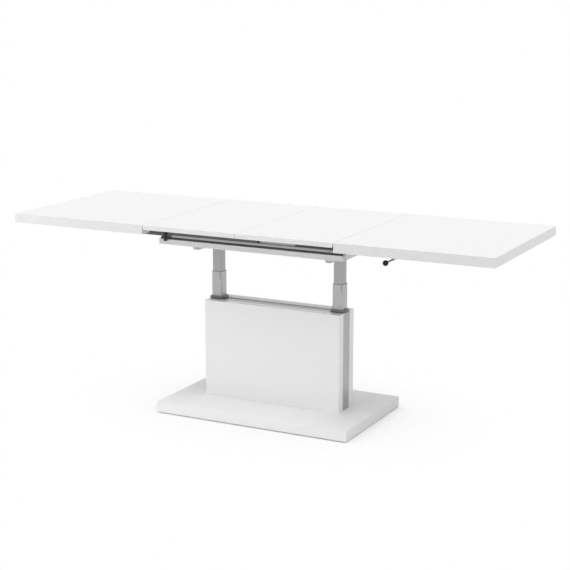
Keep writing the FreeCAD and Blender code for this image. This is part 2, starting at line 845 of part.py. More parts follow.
def dowel_solids(gap=0):
    """Dowels across the seam between the two leaves, or their holes."""
    reach = DOWEL_LENGTH / 2 + gap
    z = board_bottom + BOARD / 2
    return [
        bar_x(step * dowel_spacing, z, -reach, reach, DOWEL_DIAMETER + 2 * gap) for step in (-1, 0, 1)
    ]


def leaf_board():
    """Left leaf without its holes. Its outer edge is cut back below, so that it lifts clear of the half."""
    outer = -LEAF_LENGTH + SEAM
    inner = -SEAM / 2
    corners = [
        Vector(outer, -half_y, table_top),
        Vector(inner, -half_y, table_top),
        Vector(inner, -half_y, board_bottom),
        Vector(outer + leaf_undercut, -half_y, board_bottom),
    ]
    face = Part.Face(Part.makePolygon(corners + corners[:1]))
    board = face.extrude(Vector(0, TOP_DEPTH, 0))
    return board.makeFillet(BAND_EASE, edges_along(board, Vector(1, 0, 0)))


def left_leaf():
    """Leaf that slips on to the dowels."""
    return cut(leaf_board(), dowel_solids(DOWEL_GAP))


def right_leaf():
    """Leaf that holds the dowels."""
    return cut(mirrored_x(leaf_board()), dowel_solids(SEAT_GAP))


def sync_belt():
    """Flat belt round the two pulleys."""
    def loop(radius):
        x = end_bar_x
        run = box(-x, x, SYNC_Y - radius, SYNC_Y + radius, belt_bottom, belt_top)
        ends = [post(side * x, SYNC_Y, belt_bottom, belt_top, 2 * radius) for side in (-1, 1)]
        return fuse(run, *ends)

    return loop(belt_outer_radius).cut(loop(belt_inner_radius))


def right_sync_pulley():
    """Flanged pulley that the belt runs round, with lightening holes."""
    rim = PULLEY_DIAMETER + 2 * PULLEY_FLANGE
    low_flange = pulley_bottom + PULLEY_FLANGE_WALL
    high_flange = pulley_top - PULLEY_FLANGE_WALL
    drum = fuse(
        post(0, 0, pulley_bottom, pulley_top, PULLEY_DIAMETER),
        post(0, 0, pulley_bottom, low_flange, rim),
        post(0, 0, high_flange, pulley_top, rim),
    )
    bore = post(0, 0, pulley_bottom, pulley_top, AXLE_DIAMETER + 2 * RUNNING_FIT)
    ring = (PULLEY_DIAMETER + AXLE_SHOULDER) / 4
    holes = []
    for step in range(PULLEY_HOLE_COUNT):
        spot = Vector(ring, 0, 0)
        spot = FreeCAD.Rotation(Vector(0, 0, 1), 360 * step / PULLEY_HOLE_COUNT).multVec(spot)
        holes.append(post(spot.x, spot.y, pulley_bottom, pulley_top, PULLEY_HOLE_DIAMETER))
    return moved(cut(drum, [bore] + holes), end_bar_x, SYNC_Y)


def sync_arm(side, run_y):
    """Arm from one half to its clamp on the belt. Side is -1 for the left half."""
    hold_x = side * (LEAF_LENGTH + ARM_HOLD)
    clamp_x = side * (end_bar_x - CLAMP_INSET)
    clamp_end = clamp_x + side * CLAMP_LENGTH
    low, high = sorted((hold_x, clamp_x))
    bar = box(low, high, run_y - ARM_WIDTH / 2, run_y + ARM_WIDTH / 2, board_bottom - ARM_WALL, board_bottom)
    x0, x1 = sorted((clamp_x, clamp_end))
    clamp_bottom = belt_bottom - ARM_WALL
    clamp = box(x0, x1, run_y - CLAMP_WIDTH / 2, run_y + CLAMP_WIDTH / 2, clamp_bottom, board_bottom)
    slot = box(
        x0,
        x1,
        run_y - BELT_THICKNESS / 2 - BELT_GAP,
        run_y + BELT_THICKNESS / 2 + BELT_GAP,
        belt_bottom - BELT_GAP,
        belt_top + BELT_GAP,
    )
    return fuse(bar, clamp).cut(slot)


def shaft_bearings():
    """Blocks on the cross bars that the release rod turns in."""
    solids = []
    for x in (-crosshead_x, crosshead_x, end_bar_x):
        block = box(
            x - BEARING_WIDTH / 2,
            x + BEARING_WIDTH / 2,
            RELEASE_Y - BEARING_DEPTH / 2,
            RELEASE_Y + BEARING_DEPTH / 2,
            frame_top,
            release_z + BEARING_TOP,
        )
        block = block.makeFillet(BEARING_TOP / 2, edges_along(block, Vector(1, 0, 0))[-2:])
        bore = RELEASE_ROD + 2 * RUNNING_FIT
        solids.append(block.cut(bar_x(RELEASE_Y, release_z, x - BEARING_WIDTH, x + BEARING_WIDTH, bore)))
    return solids


def release_rod():
    """One bent rod: the shaft over both columns, and the crank that carries the knob."""
    corner_x = LEVER_X - RELEASE_BEND
    corner_y = RELEASE_Y - RELEASE_BEND
    arm_end = knob_y + KNOB_DIAMETER / 2 - KNOB_GRIP
    middle = RELEASE_BEND * 0.5 ** 0.5
    start = Vector(rod_start, RELEASE_Y, release_z)
    bend_in = Vector(corner_x, RELEASE_Y, release_z)
    bend_mid = Vector(corner_x + middle, corner_y + middle, release_z)
    bend_out = Vector(LEVER_X, corner_y, release_z)
    end = Vector(LEVER_X, arm_end, release_z)
    path = Part.Wire([
        Part.LineSegment(start, bend_in).toShape(),
        Part.Arc(bend_in, bend_mid, bend_out).toShape(),
        Part.LineSegment(bend_out, end).toShape(),
    ])
    ring = Part.Wire(Part.Circle(start, Vector(1, 0, 0), RELEASE_ROD / 2).toShape())
    rod = path.makePipeShell([ring], True, False)
    expected = path.Length * pi * RELEASE_ROD ** 2 / 4
    print("release rod volume over section times length", round(rod.Volume / expected, 5))
    return rod


def lever_knob():
    """Ball knob with a flat where the rod goes in."""
    ball = Part.makeSphere(KNOB_DIAMETER / 2, Vector(LEVER_X, knob_y, release_z))
    face = knob_y + KNOB_FLAT
    spare = KNOB_DIAMETER
    flat = box(
        LEVER_X - spare,
        LEVER_X + spare,
        face,
        face + spare,
        release_z - spare,
        release_z + spare,
    )
    seat = knob_y + KNOB_DIAMETER / 2 - KNOB_GRIP - SEAT_GAP
    hole = bar_y(LEVER_X, release_z, seat, face, RELEASE_ROD + 2 * SEAT_GAP)
    return cut(ball, [flat, hole])


def release_cams():
    """Short arm on the release rod over each gas spring's pin."""
    x0 = -CAM_WIDTH / 2
    x1 = CAM_WIDTH / 2
    hub = bar_x(RELEASE_Y, release_z, x0, x1, CAM_DIAMETER)
    arm = box(x0, x1, -CAM_NOSE, RELEASE_Y, cam_bottom, cam_bottom + CAM_ARM_HEIGHT)
    bore = bar_x(RELEASE_Y, release_z, x0, x1, RELEASE_ROD + 2 * SEAT_GAP)
    cam = fuse(hub, arm).cut(bore)
    return [moved(cam, -column_x), moved(cam, column_x)]


def pieces():
    """Every node's name with its solid or its group of like solids."""
    front_run = SYNC_Y - belt_run
    rear_run = SYNC_Y + belt_run
    yield "base_board", base_board()
    yield "base_glides", base_glides()
    yield "base_screws", panel_screw_solids() + plate_screw_solids()
    yield "front_panel", front_panel()
    yield "rear_panel", half_turn(front_panel())
    yield "panel_tie_bolts", tie_bolt_solids()
    yield "end_strips", [right_end_strip(), half_turn(right_end_strip())]
    yield "top_cover", top_cover()
    yield "column_collars", column_collars()
    yield "foot_plates", foot_plates()
    for name, x in (("left", -column_x), ("right", column_x)):
        yield name + "_outer_tube", moved(outer_tube(), x)
        yield name + "_gas_cylinder", moved(gas_cylinder(), x)
        yield name + "_middle_tube", moved(middle_tube(), x)
        yield name + "_upper_tube", moved(upper_tube(), x)
        yield name + "_gas_rod", moved(gas_rod(), x)
        yield name + "_release_pin", moved(release_pin(), x)
    yield "right_crosshead", right_crosshead()
    yield "left_crosshead", half_turn(right_crosshead())
    yield "crosshead_bolts", crosshead_bolt_solids()
    yield "front_frame_bar", front_frame_bar()
    yield "rear_frame_bar", half_turn(front_frame_bar())
    yield "frame_end_caps", frame_end_caps()
    yield "cross_bars", cross_bars()
    yield "packing_strips", packing_strips()
    yield "front_fixed_rail", front_fixed_rail()
    yield "rear_fixed_rail", half_turn(front_fixed_rail())
    yield "rail_stops", rail_stops()
    yield "rail_screws", rail_screw_solids()
    yield "rail_glides", rail_glides()
    yield "slide_keepers", slide_keepers()
    yield "shaft_bearings", shaft_bearings()
    yield "release_rod", release_rod()
    yield "release_cams", release_cams()
    yield "lever_knob", lever_knob()
    yield "sync_belt", sync_belt()
    yield "pulley_axles", pulley_axle_solids()
    yield "right_sync_pulley", right_sync_pulley()
    yield "left_sync_pulley", moved(right_sync_pulley(), -2 * end_bar_x)
    yield "left_top_board", left_top_board()
    yield "right_top_board", half_turn(left_top_board())
    yield "left_edge_strips", left_edge_strips()
    yield "right_edge_strips", [half_turn(strip) for strip in left_edge_strips()]
    yield "left_edge_band", left_edge_band()
    yield "right_edge_band", half_turn(left_edge_band())
    yield "left_front_slide", left_slide(-rail_y)
    yield "left_rear_slide", left_slide(rail_y)
    yield "right_rear_slide", half_turn(left_slide(-rail_y))
    yield "right_front_slide", half_turn(left_slide(rail_y))
    yield "left_slide_screws", left_slide_screws()
    yield "right_slide_screws", [half_turn(screw) for screw in left_slide_screws()]
    yield "left_sync_arm", sync_arm(-1, front_run)
    yield "right_sync_arm", sync_arm(1, rear_run)
    yield "left_leaf", left_leaf()
    yield "right_leaf", right_leaf()
    yield "leaf_dowels", dowel_solids()


os.makedirs("parts", exist_ok=True)
for node, shape in pieces():
    group = Part.makeCompound(shape) if isinstance(shape, list) else shape
    group.exportStep("parts/" + node + ".step")
print("table height", table_top, "length", 2 * half_x, "depth", TOP_DEPTH)
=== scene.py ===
"""Looks of an extending table: finishes, eased edges, small fittings, and a stage with its camera."""

import json
from math import cos, pi, radians, sin

import bmesh
import bpy
from bpy.props import FloatProperty, FloatVectorProperty, PointerProperty
from mathutils import Matrix, Vector


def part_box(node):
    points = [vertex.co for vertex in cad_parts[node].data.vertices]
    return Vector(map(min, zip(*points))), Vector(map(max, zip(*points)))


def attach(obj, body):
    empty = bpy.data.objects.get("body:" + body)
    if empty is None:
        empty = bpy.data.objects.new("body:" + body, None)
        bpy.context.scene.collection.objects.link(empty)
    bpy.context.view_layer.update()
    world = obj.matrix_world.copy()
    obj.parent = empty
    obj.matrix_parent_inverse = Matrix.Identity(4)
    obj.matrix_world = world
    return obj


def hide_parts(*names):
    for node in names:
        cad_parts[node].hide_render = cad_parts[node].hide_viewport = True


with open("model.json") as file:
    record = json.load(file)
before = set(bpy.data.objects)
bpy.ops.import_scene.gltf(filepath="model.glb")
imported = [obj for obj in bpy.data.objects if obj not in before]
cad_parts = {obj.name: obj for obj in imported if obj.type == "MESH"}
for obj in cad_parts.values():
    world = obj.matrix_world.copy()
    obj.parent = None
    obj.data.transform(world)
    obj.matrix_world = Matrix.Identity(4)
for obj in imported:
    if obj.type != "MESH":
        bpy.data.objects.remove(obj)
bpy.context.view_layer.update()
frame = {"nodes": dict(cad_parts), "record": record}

bl_info = {
    "name": "Extending Table Looks",
    "version": (1, 0, 0),
    "blender": (4, 5, 0),
    "location": "3D View > Sidebar > Table",
    "description": "Finishes, small fittings and photo stage of an extending table",
    "category": "Object",
}

BODY_OF = {
    node: body
    for body, members in frame["record"]["behaviour"]["bodies"].items()
    for node in members
}
SIDES = ("left", "right")
ALONG_X = (1, 0, 0)
ALONG_Z = (0, 0, 1)
ALONG_XY = (1, 1, 0)
MILLIMETRE = 0.001


def colour(name, description, value):
    """A colour that a user may change."""
    return FloatVectorProperty(
        name=name, description=description, default=value, subtype="COLOR", size=3, min=0, max=1
    )


def number(name, description, value, **limits):
    """A number that a user may change."""
    return FloatProperty(name=name, description=description, default=value, **limits)


def length(name, description, millimetres):
    """A length in millimetres that a user may change, kept in metres."""
    return number(name, description, millimetres * MILLIMETRE, unit="LENGTH", min=0, precision=5)


def share(name, description, value):
    """A share from 0 to 1 that a user may change."""
    return number(name, description, value, subtype="FACTOR", min=0, max=1)


def strength(name, description, value, unit="NONE"):
    """A strength from 0 upwards that a user may change."""
    return number(name, description, value, unit=unit, min=0)


def angle(name, description, degrees):
    """An angle in degrees that a user may change, kept in radians."""
    return number(name, description, radians(degrees), subtype="ANGLE")


def point(name, description, metres):
    """A point or a direction that a user may change."""
    return FloatVectorProperty(name=name, description=description, default=metres, subtype="XYZ")


def camera_size(name, description, millimetres):
    """A size inside the camera, in millimetres, that a user may change."""
    return number(name, description, millimetres, unit="CAMERA")


class BoardFinish(bpy.types.PropertyGroup):
    """Finish of the boards."""

    gloss_white: colour("Gloss white", "Tabletop halves and leaves", (0.77, 0.77, 0.773))
    band_white: colour("Band white", "Edge bands of the two halves", (0.75, 0.75, 0.752))
    satin_white: colour("Satin white", "Base board", (0.905, 0.905, 0.907))
    panel_white: colour("Panel white", "Pedestal panels", (0.915, 0.915, 0.917))
    strip_white: colour("Strip white", "Strips under the tabletop's edges", (0.80, 0.80, 0.795))
    gloss_roughness: share("Gloss roughness", "Roughness of the tabletop", 0.10)
    satin_roughness: share("Satin roughness", "Roughness of the base", 0.45)
    panel_roughness: share("Panel roughness", "Roughness of the pedestal panels", 0.18)
    beech: colour("Beech", "Dowels between the leaves", (0.62, 0.42, 0.24))
    board_ease: length("Board ease", "Rounding of the base board", 0.8)
    leaf_ease: length("Leaf ease", "Rounding of the leaves", 0.25)
    panel_ease: length("Panel ease", "Rounding of the pedestal panels' edges", 2.2)


class MetalFinish(bpy.types.PropertyGroup):
    """Finish of the metal pieces and their welds."""

    rail_silver: colour("Rail silver", "Fixed rails", (0.38, 0.385, 0.39))
    strip_silver: colour("Strip silver", "End strips of the pedestal", (0.42, 0.425, 0.43))
    cover_silver: colour("Cover silver", "Top cover of the pedestal", (0.46, 0.465, 0.47))
    slide_dark: colour("Slide dark", "Moving slides", (0.12, 0.12, 0.125))
    upper_silver: colour("Upper silver", "Upper column tubes", (0.385, 0.39, 0.40))
    middle_silver: colour("Middle silver", "Middle column tubes", (0.46, 0.465, 0.475))
    outer_silver: colour("Outer silver", "Outer column tubes and foot plates", (0.42, 0.425, 0.435))
    frame_grey: colour("Frame grey", "Frame bars, cross bars and weld beads", (0.69, 0.695, 0.70))
    crosshead_grey: colour("Crosshead grey", "Crossheads on the columns", (0.47, 0.475, 0.48))
    lever_zinc: colour("Lever zinc", "Release rod, cams, pins and the knob's sleeve", (0.60, 0.60, 0.61))
    bolt_zinc: colour("Bolt zinc", "Screws, bolts and axles", (0.56, 0.56, 0.57))
    arm_zinc: colour("Arm zinc", "Arms between the halves and the belt", (0.50, 0.50, 0.52))
    gas_black: colour("Gas spring black", "Gas spring cylinders", (0.02, 0.02, 0.021))
    rod_chrome: colour("Rod chrome", "Gas spring rods", (0.80, 0.80, 0.81))
    frame_ease: length("Frame ease", "Rounding of frame bars and crossheads", 1.4)
    extrusion_ease: length("Extrusion ease", "Rounding of rails, slides, strips, cams and arms", 0.35)
    weld_radius: length("Weld radius", "Half width of the weld beads", 2.1)
    weld_ripple: length("Weld ripple", "Distance between two ripples of a weld", 1.6)


class PlasticFinish(bpy.types.PropertyGroup):
    """Finish of the plastic and rubber pieces."""

    collar_grey: colour("Collar grey", "Collars round the columns and wiper rings", (0.122, 0.123, 0.126))
    # Painted highlight: a lighter colour that stands in for the light falling on the collars' upper faces
    collar_painted_highlight: colour("Collar top", "Upper faces of the collars", (0.29, 0.29, 0.295))
    moulded_black: colour("Moulded black", "Glides, keepers and bearings", (0.02, 0.02, 0.021))
    packing_black: colour("Packing black", "Packing strips under the rails", (0.045, 0.045, 0.046))
    stop_dark: colour("Stop dark", "Rail stops next to a keeper", (0.13, 0.13, 0.132))
    stop_light: colour("Stop light", "Rail stops at the other rail ends", (0.36, 0.36, 0.365))
    liner_grey: colour("Liner grey", "Liners between rails and slides", (0.12, 0.12, 0.122))
    cap_grey: colour("Cap grey", "Caps in the frame tubes", (0.66, 0.665, 0.67))
    knob_black: colour("Knob black", "Knob of the release lever", (0.012, 0.012, 0.013))
    pulley_grey: colour("Pulley grey", "Belt pulleys", (0.16, 0.16, 0.17))
    belt_black: colour("Belt black", "Toothed belt", (0.018, 0.018, 0.018))
    plastic_ease: length("Plastic ease", "Rounding of moulded pieces", 0.6)
    ring_height: length("Ring height", "Height of the wiper ring on a middle tube", 1.0)
    ring_gap: length("Ring gap", "Gap between a wiper ring and the upper tube", 0.15)
    belt_thickness: length("Belt thickness", "Thickness of the belt with its teeth", 2.0)
    tooth_pitch: length("Tooth pitch", "Distance between two belt teeth", 5.0)
    tooth_depth: length("Tooth depth", "Depth of the belt teeth", 0.9)


class PhotoStage(bpy.types.PropertyGroup):
    """Camera, light and floor."""

    azimuth: angle("Azimuth", "Turn of the camera round the table", 27.194)
    elevation: angle("Elevation", "Angle of the camera above level", 12.389)
    distance: length("Distance", "From the camera to its aim", 5454.4)
    aim: point("Aim", "Point in the middle of the picture", (0.02919, 0, 0.51255))
    lens: camera_size("Lens", "Focal length of the camera", 88.21)
    sensor: camera_size("Sensor", "Width of the camera's sensor", 36)
    sight: length("Sight", "How far the camera sees", 1000000)
    sky: strength("Sky", "Strength of the light from all round", 0.29)
    left_sun: strength("Left sun", "Strength of the soft light from above left", 1.7)
    left_sun_from: point("Left sun from", "Where the light from above left comes from", (-0.3, -0.2, 1.0))
    right_sun: strength("Right sun", "Strength of the soft light from above right", 1.2)
    right_sun_from: point("Right sun from", "Where the light from above right comes from", (0.6, -0.3, 1.0))
    sun_spread: angle("Sun spread", "Width of the soft light from above", 80)
    lamp: strength("Lamp", "Power of the low lamp at the left", 4.9, "POWER")
    lamp_place: point("Lamp place", "Middle of the low lamp", (-1.7, -1.5, 0.5))
    lamp_width: length("Lamp width", "Width of the low lamp", 900)
    floor_white: share("Floor white", "Share of the light that the floor gives back", 0.9)
    shadow_reach: length("Shadow reach", "How far the shadow round a thing on the floor spreads", 600)
    shadow_depth: strength("Shadow depth", "Depth of that shadow", 1.3)
    floor_size: length("Floor size", "Half width of the floor", 150000)


class Value:
    """A shader socket that takes part in Python sums: each operation adds one Math node."""

    def __init__(self, tree, socket):
        self.tree = tree
        self.socket = socket

    def calculate(self, operation, first, second):
        return self.tree.node("ShaderNodeMath", {"operation": operation}, {0: first, 1: second})

    def __add__(self, other):
        return self.calculate("ADD", self, other)

    def __radd__(self, other):
        return self.calculate("ADD", other, self)

    def __sub__(self, other):
        return self.calculate("SUBTRACT", self, other)

    def __rsub__(self, other):
        return self.calculate("SUBTRACT", other, self)

    def __mul__(self, other):
        return self.calculate("MULTIPLY", self, other)

    def __rmul__(self, other):
        return self.calculate("MULTIPLY", other, self)

    def __pow__(self, other):
        return self.calculate("POWER", self, other)

    def __rpow__(self, other):
        return self.calculate("POWER", other, self)


class Tree:
    """A node tree that is filled by node()."""

    def __init__(self, owner):
        owner.use_nodes = True
        self.owner = owner
        self.nodes = owner.node_tree.nodes
        self.links = owner.node_tree.links

    def node(self, kind, settings=None, sockets=None, output=0):
        """Adds a node: its settings first, then the values or links of its sockets."""
        made = self.nodes.new(kind)
        for key, value in (settings or {}).items():
            if key == "stops":
                self.set_stops(made.color_ramp, value)
            else:
                setattr(made, key, value)
        for key, value in (sockets or {}).items():
            self.feed(made.inputs[key], value)
        return Value(self, made.outputs[output])

    def feed(self, socket, value):
        """Links a value to a socket, or sets a plain number or colour."""
        if isinstance(value, Value):
            self.links.new(value.socket, socket)
        else:
            socket.default_value = value

    def set_stops(self, ramp, stops):
        """Two or more (position, grey level) stops of a ramp."""
        while len(ramp.elements) < len(stops):
            ramp.elements.new(1)
        for element, (position, grey) in zip(ramp.elements, stops):
            element.position = position
            element.color = (grey, grey, grey, 1)


class Paint(Tree):
    """A material with one Principled shader, placed by the table's own metres."""

    def __init__(self, name, constants):
        super().__init__(bpy.data.materials.new(name))
        self.shader = self.nodes["Principled BSDF"]
        for socket, value in constants.items():
            self.shader.inputs[socket].default_value = value
        self.place = self.node("ShaderNodeTexCoord", output="Object")

    def noise(self, size, detail, along=None, draw=1):
        """Soft noise with lumps of that size in metres, drawn out along an axis where one is given."""
        spot = self.place
        if along:
            scale = [1 / draw if part else 1 for part in along]
            spot = self.node("ShaderNodeMapping", {}, {"Vector": spot, "Scale": scale})
        return self.node("ShaderNodeTexNoise", {}, {"Vector": spot, "Scale": 1 / size, "Detail": detail})

    def cells(self, size, feature="F1"):
        """Distance in a pattern of cells of that size in metres."""
        sockets = {"Vector": self.place, "Scale": 1 / size}
        return self.node("ShaderNodeTexVoronoi", {"feature": feature}, sockets)

    def painted_highlight_mask(self):
        """Mask for a painted highlight: 1 on a face that looks straight up, less on a sloping one and
        nothing on an upright one.
        """
        normal = self.node("ShaderNodeNewGeometry", output="Normal")
        return self.node("ShaderNodeSeparateXYZ", {}, {0: normal}, output="Z")

    def ramp(self, value, stops):
        """Grey levels between the stops, by a value."""
        return self.node("ShaderNodeValToRGB", {"stops": stops}, {0: value})

    def tint(self, factor, first, second):
        """A colour between two others."""
        return self.node("ShaderNodeMix", {"data_type": "RGBA"}, {0: factor, 6: first, 7: second}, output=2)

    def relief(self, height, depth):
        """Small relief of that depth in metres."""
        return self.node("ShaderNodeBump", {}, {"Distance": depth, "Height": height})

    def finish(self, base, roughness, normal):
        """Feeds the shader and hands back the material."""
        self.feed(self.shader.inputs["Base Color"], base)
        self.feed(self.shader.inputs["Roughness"], roughness)
        self.feed(self.shader.inputs["Normal"], normal)
        return self.owner


def shade(rgb, factor):
    """A lighter or darker copy of a colour, with its alpha."""
    return tuple(min(part * factor, 1) for part in rgb) + (1,)


def laminate(name, rgb, roughness, specular, coat_weight=0.0):
    """Laminated board: faint cloudiness, a slight orange peel and wiping smears in the gloss."""
    constants = {"Coat Weight": coat_weight, "Coat Roughness": 0.04, "Specular IOR Level": specular}
    paint = Paint(name, constants)
    cloud = paint.noise(size=0.30, detail=3)
    peel = paint.noise(size=0.006, detail=1)
    grain = paint.noise(size=0.0007, detail=2)
    smear = paint.noise(size=0.07, detail=4, along=ALONG_X, draw=3)
    base = paint.tint(cloud, shade(rgb, 0.985), shade(rgb, 1.005))
    rough = smear * (0.4 * roughness) + grain * (0.3 * roughness) + 0.65 * roughness
    return paint.finish(base, rough, paint.relief(peel, depth=0.00001))


def edge_band(name, rgb, roughness):
    """Thin plastic band: fine drawn lines along its length."""
    paint = Paint(name, {"IOR": 1.5})
    lines = paint.noise(size=0.0009, detail=2, along=ALONG_XY, draw=80)
    cloud = paint.noise(size=0.12, detail=2)
    base = paint.tint(cloud, shade(rgb, 0.98), shade(rgb, 1.0))
    return paint.finish(base, lines * 0.12 + roughness, paint.relief(lines, depth=0.000015))


def pearl_board(name, rgb, roughness):
    """Cheaper board face with a pearled surface."""
    paint = Paint(name, {"IOR": 1.5})
    pearls = paint.cells(size=0.0011, feature="SMOOTH_F1")
    cloud = paint.noise(size=0.16, detail=3)
    base = paint.tint(cloud, shade(rgb, 0.96), shade(rgb, 1.0))
    return paint.finish(base, pearls * 0.15 + roughness, paint.relief(pearls, depth=0.00004))


def anodised(name, rgb, roughness, along):
    """Drawn and anodised metal: hair lines along the profile and soft clouds in the tone."""
    paint = Paint(name, {"Metallic": 1.0})
    hair = paint.noise(size=0.0008, detail=3, along=along, draw=250)
    die_lines = paint.noise(size=0.004, detail=1, along=along, draw=400)
    cloud = paint.noise(size=0.09, detail=3)
    tone = hair * 0.5 + cloud * 0.5
    base = paint.tint(tone, shade(rgb, 0.86), shade(rgb, 1.12))
    rough = hair * 0.16 + die_lines * 0.10 + (roughness - 0.12)
    lines = hair * 0.6 + die_lines * 0.4
    return paint.finish(base, rough, paint.relief(lines, depth=0.00003))


def powder_coat(name, rgb, roughness):
    """Baked powder paint: fine pimples and a few metallic flakes."""
    paint = Paint(name, {"Metallic": 0.25, "IOR": 1.5})
    pimples = paint.noise(size=0.0012, detail=2)
    flakes = paint.ramp(paint.cells(size=0.0006), [(0.05, 0.22), (0.16, 0)])
    cloud = paint.noise(size=0.14, detail=3)
    base = paint.tint(cloud, shade(rgb, 0.94), shade(rgb, 1.04))
    base = paint.tint(flakes, base, shade(rgb, 1.35))
    return paint.finish(base, pimples * 0.18 + (roughness - 0.08), paint.relief(pimples, depth=0.00006))


def moulded(name, rgb, roughness, grain, highlight_rgb=None):
    """Moulded plastic: fine grain, faint flow clouds and, where given, a lighter colour painted on upper
    faces as a painted highlight.
    """
    paint = Paint(name, {"IOR": 1.48})
    pits = paint.noise(size=0.0009, detail=3)
    cloud = paint.noise(size=0.02, detail=3)
    base = paint.tint(cloud, shade(rgb, 0.85), shade(rgb, 1.2))
    # Painted highlight: faces that look up take the lighter colour, standing in for light from above
    if highlight_rgb:
        base = paint.tint(paint.painted_highlight_mask(), base, shade(highlight_rgb, 1))
    return paint.finish(base, pits * 0.2 + (roughness - 0.1), paint.relief(pits, depth=grain))


def polished_plastic(name, rgb):
    """Polished plastic: deep gloss with a few fine rub marks."""
    paint = Paint(name, {"IOR": 1.45, "Specular IOR Level": 0.2})
    rubs = paint.noise(size=0.0006, detail=2, along=ALONG_X, draw=20)
    cloud = paint.noise(size=0.006, detail=2)
    base = paint.tint(cloud, shade(rgb, 0.8), shade(rgb, 1.3))
    return paint.finish(base, rubs * 0.12 + 0.10, paint.relief(rubs, depth=0.000004))


def zinc_plate(name, rgb, roughness):
    """Zinc plating: cloudy, with a cool and a warm cast that change over into each other."""
    paint = Paint(name, {"Metallic": 1.0})
    spangle = paint.cells(size=0.004)
    cast = paint.noise(size=0.012, detail=3)
    fine = paint.noise(size=0.0009, detail=2)
    cool = (rgb[0] * 0.92, rgb[1] * 0.97, rgb[2] * 1.06, 1)
    warm = (rgb[0] * 1.08, rgb[1] * 1.03, rgb[2] * 0.92, 1)
    base = paint.tint(cast, cool, warm)
    base = paint.tint(spangle * 0.25, base, shade(rgb, 1.2))
    return paint.finish(base, fine * 0.2 + (roughness - 0.1), paint.relief(fine, depth=0.00002))


def enamel(name, rgb):
    """Black enamel on a drawn tube."""
    paint = Paint(name, {"IOR": 1.5, "Coat Weight": 0.3})
    runs = paint.noise(size=0.006, detail=2, along=ALONG_Z, draw=8)
    cloud = paint.noise(size=0.03, detail=2)
    base = paint.tint(cloud, shade(rgb, 0.8), shade(rgb, 1.4))
    return paint.finish(base, runs * 0.15 + 0.18, paint.relief(runs, depth=0.00004))


def ground_chrome(name, rgb):
    """Ground and plated rod: fine rings round it."""
    paint = Paint(name, {"Metallic": 1.0})
    rings = paint.noise(size=0.0007, detail=2, along=ALONG_XY, draw=40)
    base = paint.tint(rings, shade(rgb, 0.9), shade(rgb, 1.08))
    return paint.finish(base, rings * 0.1 + 0.05, paint.relief(rings, depth=0.000004))


def belt_rubber(name, rgb):
    """Rubber belt with the faint cloth pattern of its cover."""
    paint = Paint(name, {"IOR": 1.5})
    cloth = paint.cells(size=0.0012)
    dust = paint.noise(size=0.02, detail=4)
    base = paint.tint(dust, shade(rgb, 0.8), shade(rgb, 2.2))
    return paint.finish(base, cloth * 0.2 + 0.6, paint.relief(cloth, depth=0.00008))


def beech_wood(name, rgb):
    """Turned beech: long fibres and short dark flecks."""
    paint = Paint(name, {"IOR": 1.45})
    fibre = paint.noise(size=0.0009, detail=3, along=ALONG_X, draw=30)
    short = paint.noise(size=0.0012, detail=1, along=ALONG_X, draw=5)
    fleck = paint.ramp(short, [(0.60, 0), (0.72, 0.5)])
    base = paint.tint(fibre, shade(rgb, 0.82), shade(rgb, 1.15))
    base = paint.tint(fleck, base, shade(rgb, 0.55))
    return paint.finish(base, fibre * 0.2 + 0.5, paint.relief(fibre, depth=0.00005))


def coat(paint, *names):
    """Gives CAD nodes their finish and leaves their shape as it is."""
    for name in names:
        materials = frame["nodes"][name].data.materials
        materials.clear()
        materials.append(paint)


FLAT_ANGLE = radians(0.5)
SHARP_ANGLE = radians(40)
SMOOTH_ANGLE = radians(50)
MERGE_DISTANCE = 0.002 * MILLIMETRE
HOLE_SIZE = 15 * MILLIMETRE
EASE_STEPS = 3
EASE_PROFILE = 0.5
ROUND_STEPS = 32


def solid_mesh(name):
    """A CAD node's mesh with its doubled corners joined."""
    mesh = bmesh.new()
    mesh.from_mesh(frame["nodes"][name].data)
    bmesh.ops.remove_doubles(mesh, verts=mesh.verts, dist=MERGE_DISTANCE)
    return mesh


def box_of(spots):
    """The lowest and highest corner of the box round some points."""
    low = Vector([min(spot[i] for spot in spots) for i in range(3)])
    high = Vector([max(spot[i] for spot in spots) for i in range(3)])
    return low, high


def loose_solids(name):
    """The lowest and highest corner of each separate solid in a CAD node."""
    mesh = solid_mesh(name)
    left = set(mesh.verts)
    boxes = []
    while left:
        island = [left.pop()]
        for vertex in island:
            for edge in vertex.link_edges:
                other = edge.other_vert(vertex)
                if other in left:
                    left.remove(other)
                    island.append(other)
        boxes.append(box_of([vertex.co for vertex in island]))
    mesh.free()
    return sorted(boxes, key=lambda pair: tuple(pair[0]))


def piece(name, mesh, paint, body, replaced=()):
    """Makes a visible piece of a mesh on its body and hides the CAD nodes it stands for."""
    bmesh.ops.recalc_face_normals(mesh, faces=mesh.faces)
    data = bpy.data.meshes.new(name)
    mesh.to_mesh(data)
    mesh.free()
    data.polygons.foreach_set("use_smooth", [True] * len(data.polygons))
    data.set_sharp_from_angle(angle=SMOOTH_ANGLE)
    data.materials.append(paint)
    made = bpy.data.objects.new(name, data)
    bpy.context.scene.collection.objects.link(made)
    flat = made.modifiers.new("flat_faces", "WEIGHTED_NORMAL")
    flat.keep_sharp = True
    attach(made, body)
    if replaced:
        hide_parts(*replaced)


def outlines(mesh):
    """The sharp edges of a mesh, without the rims of small holes."""
    mesh.edges.index_update()
    mesh.edges.ensure_lookup_table()
    whole = [edge for edge in mesh.edges if edge.is_manifold]
    left = {edge.index for edge in whole if edge.calc_face_angle() > SHARP_ANGLE}
    kept = []
    while left:
        chain = [left.pop()]
        for index in chain:
            for vertex in mesh.edges[index].verts:
                joined = left.intersection(edge.index for edge in vertex.link_edges)
                left -= joined
                chain += sorted(joined)
        low, high = box_of([vertex.co for index in chain for vertex in mesh.edges[index].verts])
        if max(high - low) > HOLE_SIZE:
            kept += chain
    return [mesh.edges[index] for index in sorted(kept)]


